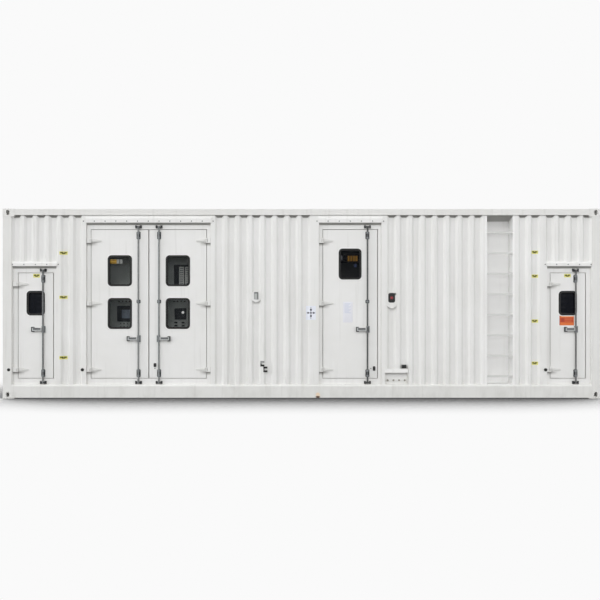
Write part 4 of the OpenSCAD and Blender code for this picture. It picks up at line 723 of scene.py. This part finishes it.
def dressFrame():
    # every solid gets the finish of its slot, or its own
    slotOf = {part["node"]: part["material_slot"] for part in frame["record"]["subparts"]}
    ofSlot = {
        "shell_paint": topcoat("polyurethaneTopcoat", leeUnder=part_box("top_rails")[0].z, hinged=True),
        "frame_paint": topcoat("chassisTopcoat", fresh="#E2E2E0", faded="#DCDCD9", dustShare=0.3,
                                rustSpots=rust),
        "floor_plate": treadPlate(), "cabinet_paint": plainSurface("greyPowderCoat"),
        "galvanized_fittings": galvanisedSteel(), "window_rubber": plainSurface("epdmRubber"),
        "black_plastic": plainSurface("mouldedPolycarbonateBlack"),
        "black_rubber": plainSurface("mouldedRubberFittings"),
    }
    own = {
        # painted shade: the rungs get a darker paint than the walls
        "ladder_rungs": topcoat("shadedRungTopcoat", fresh="#D2D2D0", faded="#CCCCCA", dustShare=0.3),
        # painted light: the ladder tray gets a paler paint with little painted shade
        "ladder_tray": topcoat("brightenedTrayTopcoat", fresh="#F1F1F0", faded="#EDEDEC", dustShare=0.1),
        "lock_keepers": plainSurface("greasedZinc"), "wall_fittings": fittingsCoat(),
        "emergency_stop_button": buttonCoat(),
    }
    panes = {name: tintedGlass(name) for name in glass}
    for door, leaf in leaves.items():
        own.update({door: leafCoat(door), leaf["rod"]: lockRodCoat(door), leaf["pane"]: panes[leaf["glass"]]})
    for name, obj in nodes.items():
        obj.data.materials.clear()
        obj.data.materials.append(own[name] if name in own else ofSlot[slotOf[name]])
    print("finishes on", len(nodes), "solids")
    return ofSlot


# domed bolts along the drip caps: how many on each frame, at which level, and how far in from its ends
capBolts = {"head": 0.0085, "rise": 0.0022, "back": 0.0125, "frames": {
    "left_service_frame": (5, 2.046, 0.016), "control_frame": (13, 2.706, 0.009),
    "personnel_frame": (7, 2.706, 0.016), "right_service_frame": (5, 2.046, 0.016)}}


def addCapBolts():
    y = cadLevels["wallFace"] - capBolts["back"]
    spots = []
    for name, (count, level, inset) in capBolts["frames"].items():
        low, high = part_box(name)
        spots += [(x, y, level) for x in np.linspace(low.x + inset, high.x - inset, count)]
    domes("drip_cap_bolts", spots, boltHead(capBolts["head"], capBolts["rise"], 5), boltZinc, "root")
    print("drip cap bolts:", len(spots))


# bright lips round the window rubbers: their pale tone is a painted highlight
lips = {"width": 0.013, "depth": 0.0030, "overhang": 0.014, "corner": 0.066, "controlRise": 0.655}


def windowsOf(door):
    # middles and outer size of the rubbers in a door: a control door has two of the same height
    low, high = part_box(leaves[door]["gasket"])
    tall = high.z - low.z - (lips["controlRise"] if "control" in door else 0.0)
    levels = [low.z + tall / 2, high.z - tall / 2] if "control" in door else [low.z + tall / 2]
    return [((low.x + high.x) / 2, z) for z in levels], (high.x - low.x, tall)


def addWindowLips():
    material = plainSurface("paleLipHighlight")
    for door in leaves:
        middles, (wide, tall) = windowsOf(door)
        centres = [(x, cadLevels["leafFace"] + 0.0004, z) for x, z in middles]
        loopFrames(door + "_window_lips", centres, (wide + lips["overhang"], tall + lips["overhang"]),
                   lips["corner"], lips["width"], lips["depth"], material, door)
    print("window lips on", len(leaves), "doors")


# bolts of the rod guides: two pairs on each guide, one pair on the middle guide of a tall leaf
guides = {"head": 0.0055, "rise": 0.004, "low": 0.383, "serviceTop": 1.828, "middle": 1.480, "tallTop": 2.491,
          "across": 0.0215, "upright": 0.012, "back": 0.0048}


def addGuideBolts():
    profile = boltHead(guides["head"], guides["rise"], 4)
    for door in leaves:
        tall = "service" not in door
        levels = (guides["low"], guides["tallTop" if tall else "serviceTop"])
        heights = [z + side * guides["upright"] for z in levels for side in (-1, 1)]
        heights += [guides["middle"]] if tall else []
        spots = [(rodLine(door) + side * guides["across"], cadLevels["leafFace"] - guides["back"], z)
                 for z in heights for side in (-1, 1)]
        domes(door + "_guide_bolts", spots, profile, boltZinc, door, around=10)
    print("guide bolts on", len(leaves), "doors")


# small latches on two leaves: a plate with two knobs and a tab beside or below it
latches = {
    "doors": {"control_door_right": {"x": (-2.268, -2.227), "z": (0.479, 0.536), "tab": (-0.002, -0.052)},
              "personnel_door": {"x": (1.088, 1.126), "z": (0.420, 0.489), "tab": (-0.050, 0.000)}},
    "plate": {"thick": 0.006, "corner": 0.008}, "tabSize": (0.018, 0.012), "knobOffset": 0.016,
    "knob": [[0.0145, 0.006], [0.0145, 0.012], [0.0125, 0.018], [0.0115, 0.022], [0.008, 0.024]],
}


def addLatches():
    face = cadLevels["leafFace"]
    for door, at in latches["doors"].items():
        x, z = sum(at["x"]) / 2, sum(at["z"]) / 2
        plateFrom(door + "_latch_plate", {**latches["plate"], **at}, finishes["black_plastic"],
                  face, door)
        domes(door + "_latch_knob", [(x, face, z + side * latches["knobOffset"]) for side in (-1, 1)],
              latches["knob"], finishes["black_rubber"], door, 20)
        panels(door + "_latch_tab", [(x + at["tab"][0], face, z + at["tab"][1])], latches["tabSize"], 0.004,
               0.003, finishes["galvanized_fittings"], door)
    print("latches:", len(latches["doors"]))


# labels: the middle, the levels or level, and the width and height of each
stickers = {
    "leftStrip": {"x": -3.643, "z": (2.221, 1.544, 0.621), "size": (0.116, 0.050)},
    "rightStrip": {"x": 3.565, "z": (2.234, 1.868, 1.181, 0.535), "size": (0.098, 0.050)},
    "leftLeaf": {"x": -4.061, "z": 1.8745, "size": (0.102, 0.056)},
    "rightLeaf": {"x": 4.068, "z": 1.876, "size": (0.102, 0.052)},
    "arrows": {"x": 0.1395, "z": (1.306,), "size": (0.150, 0.214)},
    "sheet": {"x": 0.705, "z": 1.318, "size": (0.150, 0.318), "lines": 10, "linePitch": 0.050},
    "orange": {"x": 4.056, "z": 1.1895, "size": (0.222, 0.150)},
    "thick": 0.0008,
}


def wallProfile():
    # X and Y of the corrugated skin, from the corners of the panels that lie between crests and valleys
    points = []
    for name in ("main_panels", "service_bay_panels"):
        mesh = nodes[name].data
        flat = np.empty(len(mesh.vertices) * 3, np.float32)
        mesh.vertices.foreach_get("co", flat)
        points.append(flat.reshape(-1, 3))
    x, y = np.concatenate(points)[:, :2].T
    skin = (y > cadLevels["wallFace"] - 0.0002) & (y < cadLevels["leafFace"] + 0.0002)
    x, y = x[skin], y[skin]
    order = np.lexsort((y, np.round(x, 4)))
    x, y = x[order], y[order]
    keep = np.concatenate([[True], np.diff(np.round(x, 4)) > 0])
    return x[keep], y[keep]


def foldedLabels(name, key, material):
    # vinyl pressed onto the folds of the wall: a flat band whose back is y = wall(x) and whose front stands
    # off it by the thickness, cut at every fold so that it lies on each face
    x, levels, (wide, tall) = stickers[key]["x"], stickers[key]["z"], stickers[key]["size"]
    wallX, wallY = wallProfile()
    along = np.linspace(x - wide / 2, x + wide / 2, 9)
    folds = wallX[(wallX > along[0]) & (wallX < along[-1])]
    along = np.unique(np.round(np.concatenate([along, folds]), 5))
    points = np.zeros((len(levels), len(along), 4, 3))
    out = stickers["thick"]
    points[..., 0] = along[:, None]
    points[..., 1] = np.interp(along, wallX, wallY)[:, None] + [0.0001, 0.0001, -out, -out]
    points[..., 2] = np.asarray(levels)[:, None, None] + np.array([-1, 1, 1, -1]) * tall / 2
    uv = np.zeros(points.shape[:3] + (2,))
    uv[..., 0] = ((along - along[0]) / wide)[:, None]
    uv[..., 1] = [0, 1, 1, 0]
    ringSolids(name, points, uv, material, "root")


def leafLabel(name, key, corner, material, door):
    # one flat label on a leaf
    s = stickers[key]
    panels(name, [(s["x"], cadLevels["leafFace"], s["z"])], s["size"], stickers["thick"], corner, material,
           door)


def addStickers():
    bars = [(0.10, 0.44, 0.42, 0.82), (0.56, 0.90, 0.42, 0.82), (0.30, 0.70, 0.20, 0.58)]
    yellow = printedLabel("yellowVinyl", "#DEDA70", "#55551F", bars, "#EDEAB0")
    foldedLabels("sticker_leftStrip", "leftStrip", yellow)
    foldedLabels("sticker_rightStrip", "rightStrip", yellow)
    leafLabel("sticker_leftLeaf", "leftLeaf", 0.004, yellow, "left_service_door")
    leafLabel("sticker_rightLeaf", "rightLeaf", 0.004, yellow, "right_service_door")
    foldedLabels("balance_point_label", "arrows", arrowLabel(stickers["arrows"]["size"]))
    down = stickers["sheet"]["linePitch"] * np.arange(stickers["sheet"]["lines"])
    lines = [(0.16, 0.80 - 0.10 * (k % 3), 0.905 - drop, 0.925 - drop) for k, drop in enumerate(down)]
    paper = printedLabel("laminatedPaper", "#E3E4EB", "#C3CBDF", lines, "#E8E9EC", 0.35)
    leafLabel("door_sheet", "sheet", 0.003, paper, "personnel_door")
    bands = [(0.0, 1.0, 0.86, 1.0, "#E58A45"), (0.06, 0.95, 0.30, 0.80), (0.0, 0.05, 0.0, 1.0, "#A8401C"),
             (0.12, 0.30, 0.38, 0.72, "#A33816"), (0.38, 0.90, 0.58, 0.70, "#CE5E2C"),
             (0.38, 0.84, 0.38, 0.48, "#CE5E2C")]
    orange = printedLabel("orangeVinyl", "#DB6F30", "#BC451E", bands, "#E08A50")
    leafLabel("orange_label", "orange", 0.003, orange, "right_service_door")
    print("stickers and labels done")


# screws and tab of the emergency stop's box
stopBox = {"screw": [[0.0042, 0.0], [0.0042, 0.0012], [0.0030, 0.0020], [0.0012, 0.0017]], "sunk": 0.0085,
           "screwInset": 0.013, "screwRise": 0.060, "tabSize": (0.026, 0.036), "tabDrop": 0.018,
           "tabOut": 0.002}


def addDevices():
    low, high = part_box("emergency_stop_box")
    y, middle = cadLevels["castingFace"] + stopBox["sunk"], (low.z + high.z) / 2
    spots = [(x, y, middle + side * stopBox["screwRise"])
             for x in (low.x + stopBox["screwInset"], high.x - stopBox["screwInset"]) for side in (-1, 1)]
    domes("stop_box_screws", spots, stopBox["screw"], finishes["galvanized_fittings"], "root")
    tab = (high.x + stopBox["tabOut"], cadLevels["plateFace"], high.z - stopBox["tabDrop"])
    panels("stop_box_tab", [tab], stopBox["tabSize"], 0.003, 0.004, plainSurface("greyGreenPlastic"), "root")
    print("device details done")


# pressed lip along the lower edge of the top rail
railLip = {"height": 0.016, "depth": 0.0025, "drop": 0.010, "inset": 0.19}


def addRailLip():
    # half round rib: the outline y = -depth cos(a), z = height/2 sin(a) carried straight along X
    low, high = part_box("corner_posts")
    x = np.linspace(low.x + railLip["inset"], high.x - railLip["inset"], 25)
    a = np.linspace(-np.pi / 2, np.pi / 2, 9)
    half = railLip["height"] / 2
    ring = np.stack([-railLip["depth"] * np.cos(a), half * np.sin(a)], axis=-1)
    ring = np.concatenate([ring, [[0.0004, half], [0.0004, -half]]])[::-1]
    points = np.zeros((1, len(x), len(ring), 3))
    points[..., 0] = x[:, None]
    points[..., 1:] = ring + [cadLevels["frameFace"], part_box("top_rails")[0].z + railLip["drop"]]
    uv = np.zeros(points.shape[:3] + (2,))
    uv[..., 0] = np.linspace(0, 1, len(x))[:, None]
    ringSolids("top_rail_lip", points, uv, finishes["frame_paint"], "root")
    print("top rail lip done")


# ribbed grips on the handles
grips = {"long": 0.112, "tall": 0.030, "rise": 0.006, "start": 0.031, "thick": 0.0030, "ribs": 8,
         "out": 0.042, "bevel": 0.002}


def gripRubber():
    # moulded rubber with ribs 14 mm apart, their crests worn grey: the share is |cos(pi n u)| along the pad
    material, add = blankMaterial("ribbedGripRubber")
    u = add("axes", add("label"))[0]
    place = add("place")
    wave = add("ABSOLUTE", add("COSINE", add("MULTIPLY", u, np.pi * grips["ribs"])))
    colour = add("blend", add("ramp", wave, 0.55, 0.95), "#232425", "#8B8E8F")
    colour = wash(add, colour, "#4A4C4D", patches(add, place, 14.3, 0.5, 0.8, 3.0), 0.3)
    finishMaterial(add, colour, 0.66, noiseOf(add, place, 3.33, 2.0), 0.0002)
    return material


def addGrips():
    # a pad whose face is a row of ribs: depth = thick (0.55 + 0.45 |cos(pi n u)|) for u from 0 to 1 along it
    material = gripRubber()
    u = np.linspace(0, 1, 8 * grips["ribs"] + 1)
    depth = grips["thick"] * (0.55 + 0.45 * np.abs(np.cos(np.pi * grips["ribs"] * u)))
    depth[[0, -1]] *= 0.3
    half, inner = grips["tall"] / 2, grips["tall"] / 2 - grips["bevel"]
    section = cadLevels["leafFace"] - grips["out"] + np.array([0.0004, 0, 0, 0.0004])
    for door, leaf in leaves.items():
        points = np.zeros((1, len(u), 4, 3))
        points[..., 0] = (rodLine(door) - leaf["turns"] * (grips["start"] + grips["long"] * u))[:, None]
        points[..., 1] = section - np.outer(depth, [0, 1, 1, 0])
        points[..., 2] = leaf["grip"] + grips["rise"] + np.array([-half, -inner, inner, half])
        if leaf["turns"] > 0:
            points = points[:, :, ::-1]
        uv = np.zeros(points.shape[:3] + (2,))
        uv[..., 0] = u[:, None]
        ringSolids(leaf["rod"] + "_grip", points, uv, material, leaf["rod"])
    print("grips on", len(leaves), "handles")


# instruments behind the control windows: labels on the glass, the rest on the fronts of the cabinets
instruments = {
    "labels": {"z": 2.0935, "tall": 0.064, "amber": (-2.8935,), "amberWidth": 0.109,
               "pale": (-2.8195, -2.770), "paleWidth": 0.034, "thick": 0.0008, "gap": 0.0001},
    "ledge": {"x": (-3.05, -2.62), "z": (2.050, 2.062), "thick": 0.012, "corner": 0.004},
    "rack": {"x": (-2.005, -1.720), "z": (1.690, 2.056), "thick": 0.010, "corner": 0.006},
    "cards": {"x": (-1.885, -1.790), "z": (1.880,), "size": (0.078, 0.290)},
    "bezel": {"x": (-2.895, -2.640), "z": (1.165, 1.412), "thick": 0.016, "corner": 0.010},
    "screen": {"x": (-2.822, -2.680), "z": (1.215, 1.350), "thick": 0.0015, "corner": 0.004},
    "controller": {"x": (-1.995, -1.815), "z": (1.200, 1.372), "thick": 0.018, "corner": 0.012},
    "dial": {"x": (-1.862,), "z": (1.308,)},
    "knob": [[0.020, 0.0], [0.020, 0.010], [0.017, 0.015], [0.008, 0.017]],
    "lamps": {"x": (-2.868, -2.812, -2.757, -2.702, -2.005, -1.948, -1.892, -1.836, -1.780), "z": (1.481,)},
    "lamp": [[0.011, 0.0], [0.011, 0.006], [0.008, 0.011], [0.003, 0.013]],
    "switches": {"x": (-1.975, -1.862), "z": (1.150, 1.102), "size": (0.048, 0.024)},
    "buttons": {"x": (-2.842, -2.790, -2.738, -2.690), "z": (1.132, 1.082)},
}


def glowing(name, colour, dim):
    # backlit acrylic: a soft glow, broken by upright darker bars about 22 mm apart
    material, add = blankMaterial(name)
    x = add("axes", add("place"))[0]
    wave = add("ABSOLUTE", add("SINE", add("MULTIPLY", x, np.pi / 0.022)))
    finishMaterial(add, "#1A1814", 0.35, fixed={
        "Emission Strength": 1.0, "Emission Color": add("blend", add("ramp", wave, 0.25, 0.75), dim, colour)})
    return material


def addInstruments():
    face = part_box("cabinets")[0].y
    dark = plainSurface("instrumentPlastic")
    rows = [(0.12, 0.88, 0.08 + 0.115 * k, 0.13 + 0.115 * k) for k in range(8)]
    pale = printedLabel("paleCardStock", "#F2F4EE", "#8E9496", rows, "#DDE1DC")
    bars = [(0.08, 0.92, 0.18, 0.30), (0.08, 0.70, 0.62, 0.78)]
    amber = printedLabel("amberVinyl", "#F0BE3A", "#A8741E", bars, "#F4D468")
    s = instruments["labels"]
    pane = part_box("control_panes_left")[1].y + s["thick"] + s["gap"]
    for name, tone, material in (("pane_amber_label", "amber", amber), ("pane_pale_labels", "pale", pale)):
        panels(name, [(x, pane, s["z"]) for x in s[tone]], (s[tone + "Width"], s["tall"]), s["thick"], 0.003,
               material, "control_door_left")

    def spots(key, out=0.0):
        return [(x, face - out, z) for x in instruments[key]["x"] for z in instruments[key]["z"]]

    plateFrom("cabinet_ledge", instruments["ledge"], finishes["cabinet_paint"], face)
    plateFrom("cabinet_rack", instruments["rack"], dark, face)
    panels("cabinet_cards", spots("cards", instruments["rack"]["thick"]), instruments["cards"]["size"], 0.002,
           0.003, pale, "root")
    plateFrom("cabinet_screen_bezel", instruments["bezel"], dark, face)
    plateFrom("cabinet_screen", instruments["screen"], plainSurface("displayGlass"),
              face - instruments["bezel"]["thick"])
    plateFrom("cabinet_controller", instruments["controller"], dark, face)
    # the dial glows though it is no lamp: a painted highlight
    domes("cabinet_dial", spots("dial", instruments["controller"]["thick"]), instruments["knob"],
          glowing("glowingDialHighlight", "#F4F6F4", "#C9CECB"), "root", 24)
    lamp = np.array(instruments["lamp"])
    domes("cabinet_lamps", spots("lamps"), lamp, dark, "root", 16)
    domes("cabinet_lamp_lenses", spots("lamps", 0.0125), lamp * 0.5, plainSurface("lampLens"), "root",
          12)
    panels("cabinet_switches", spots("switches"), instruments["switches"]["size"], 0.012, 0.006, dark, "root")
    domes("cabinet_buttons", spots("buttons"), lamp * 0.95, dark, "root", 14)
    print("instruments on the cabinets")


# lit display fixed behind the personnel door's window
display = {
    "display_housing": {"x": (0.588, 0.886), "z": (2.074, 2.204), "thick": 0.010, "corner": 0.006},
    "display_bar": {"x": (0.704, 0.734), "z": (2.098, 2.182), "thick": 0.001, "corner": 0.004},
    "display_mark": {"x": (0.602, 0.624), "z": (2.117, 2.186), "thick": 0.001, "corner": 0.004},
    "display_lamp": {"x": (0.803, 0.845), "z": (2.004, 2.056), "thick": 0.010, "corner": 0.006},
    "bars": 4, "barPitch": 0.040, "gap": 0.0025,
}


def addDisplay():
    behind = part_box("personnel_pane")[1].y + display["gap"]
    thick = display["display_housing"]["thick"]

    def fit(name, spec, material, back):
        plateFrom(name, spec, material, back, "personnel_door")

    fit("display_housing", display["display_housing"], finishes["black_plastic"], behind + thick)
    amber = glowing("amberBacklight", "#D9A03C", "#7A5A28")
    bar = display["display_bar"]
    for k in range(display["bars"]):
        x = np.add(bar["x"], k * display["barPitch"])
        fit("display_bar_%d" % (k + 1), {**bar, "x": x}, amber, behind)
    fit("display_mark", display["display_mark"], glowing("whiteBacklight", "#9C9CA2", "#66666C"), behind)
    blue = glowing("blueBacklight", "#5A6A94", "#2C3654")
    fit("display_lamp", display["display_lamp"], blue, behind + thick)
    print("display done")


# rubber caps over the cable studs
studCaps = {"x": (1.272, 1.618), "z": 0.276, "count": 4, "back": 0.006, "radius": 0.0148, "rise": 0.014,
            "steps": [[1.0, 0.0], [1.0, 0.7], [0.86, 0.92], [0.45, 1.0]]}


def addStudCaps():
    # caps with a skirt round the stud: radius and height follow a short list of steps
    left, right = studCaps["x"]
    pitch = (right - left) / studCaps["count"]
    spots = [(left + (k + 0.5) * pitch, cadLevels["leafFace"] - studCaps["back"], studCaps["z"])
             for k in range(studCaps["count"])]
    profile = np.array(studCaps["steps"]) * [studCaps["radius"], studCaps["rise"]]
    domes("cable_stud_caps", spots, profile, plainSurface("greyRubberCaps"), "root", 20)
    print("cable stud caps done")


bpy.context.scene.view_settings.view_transform = "Standard"
finishes = dressFrame()
boltZinc = plainSurface("weatheredZinc")
buildWorld()
buildFloor()
buildCameraAndLamps()
addCapBolts()
addWindowLips()
addGuideBolts()
addLatches()
addStickers()
addDevices()
addRailLip()
addGrips()
addInstruments()
addDisplay()
addStudCaps()
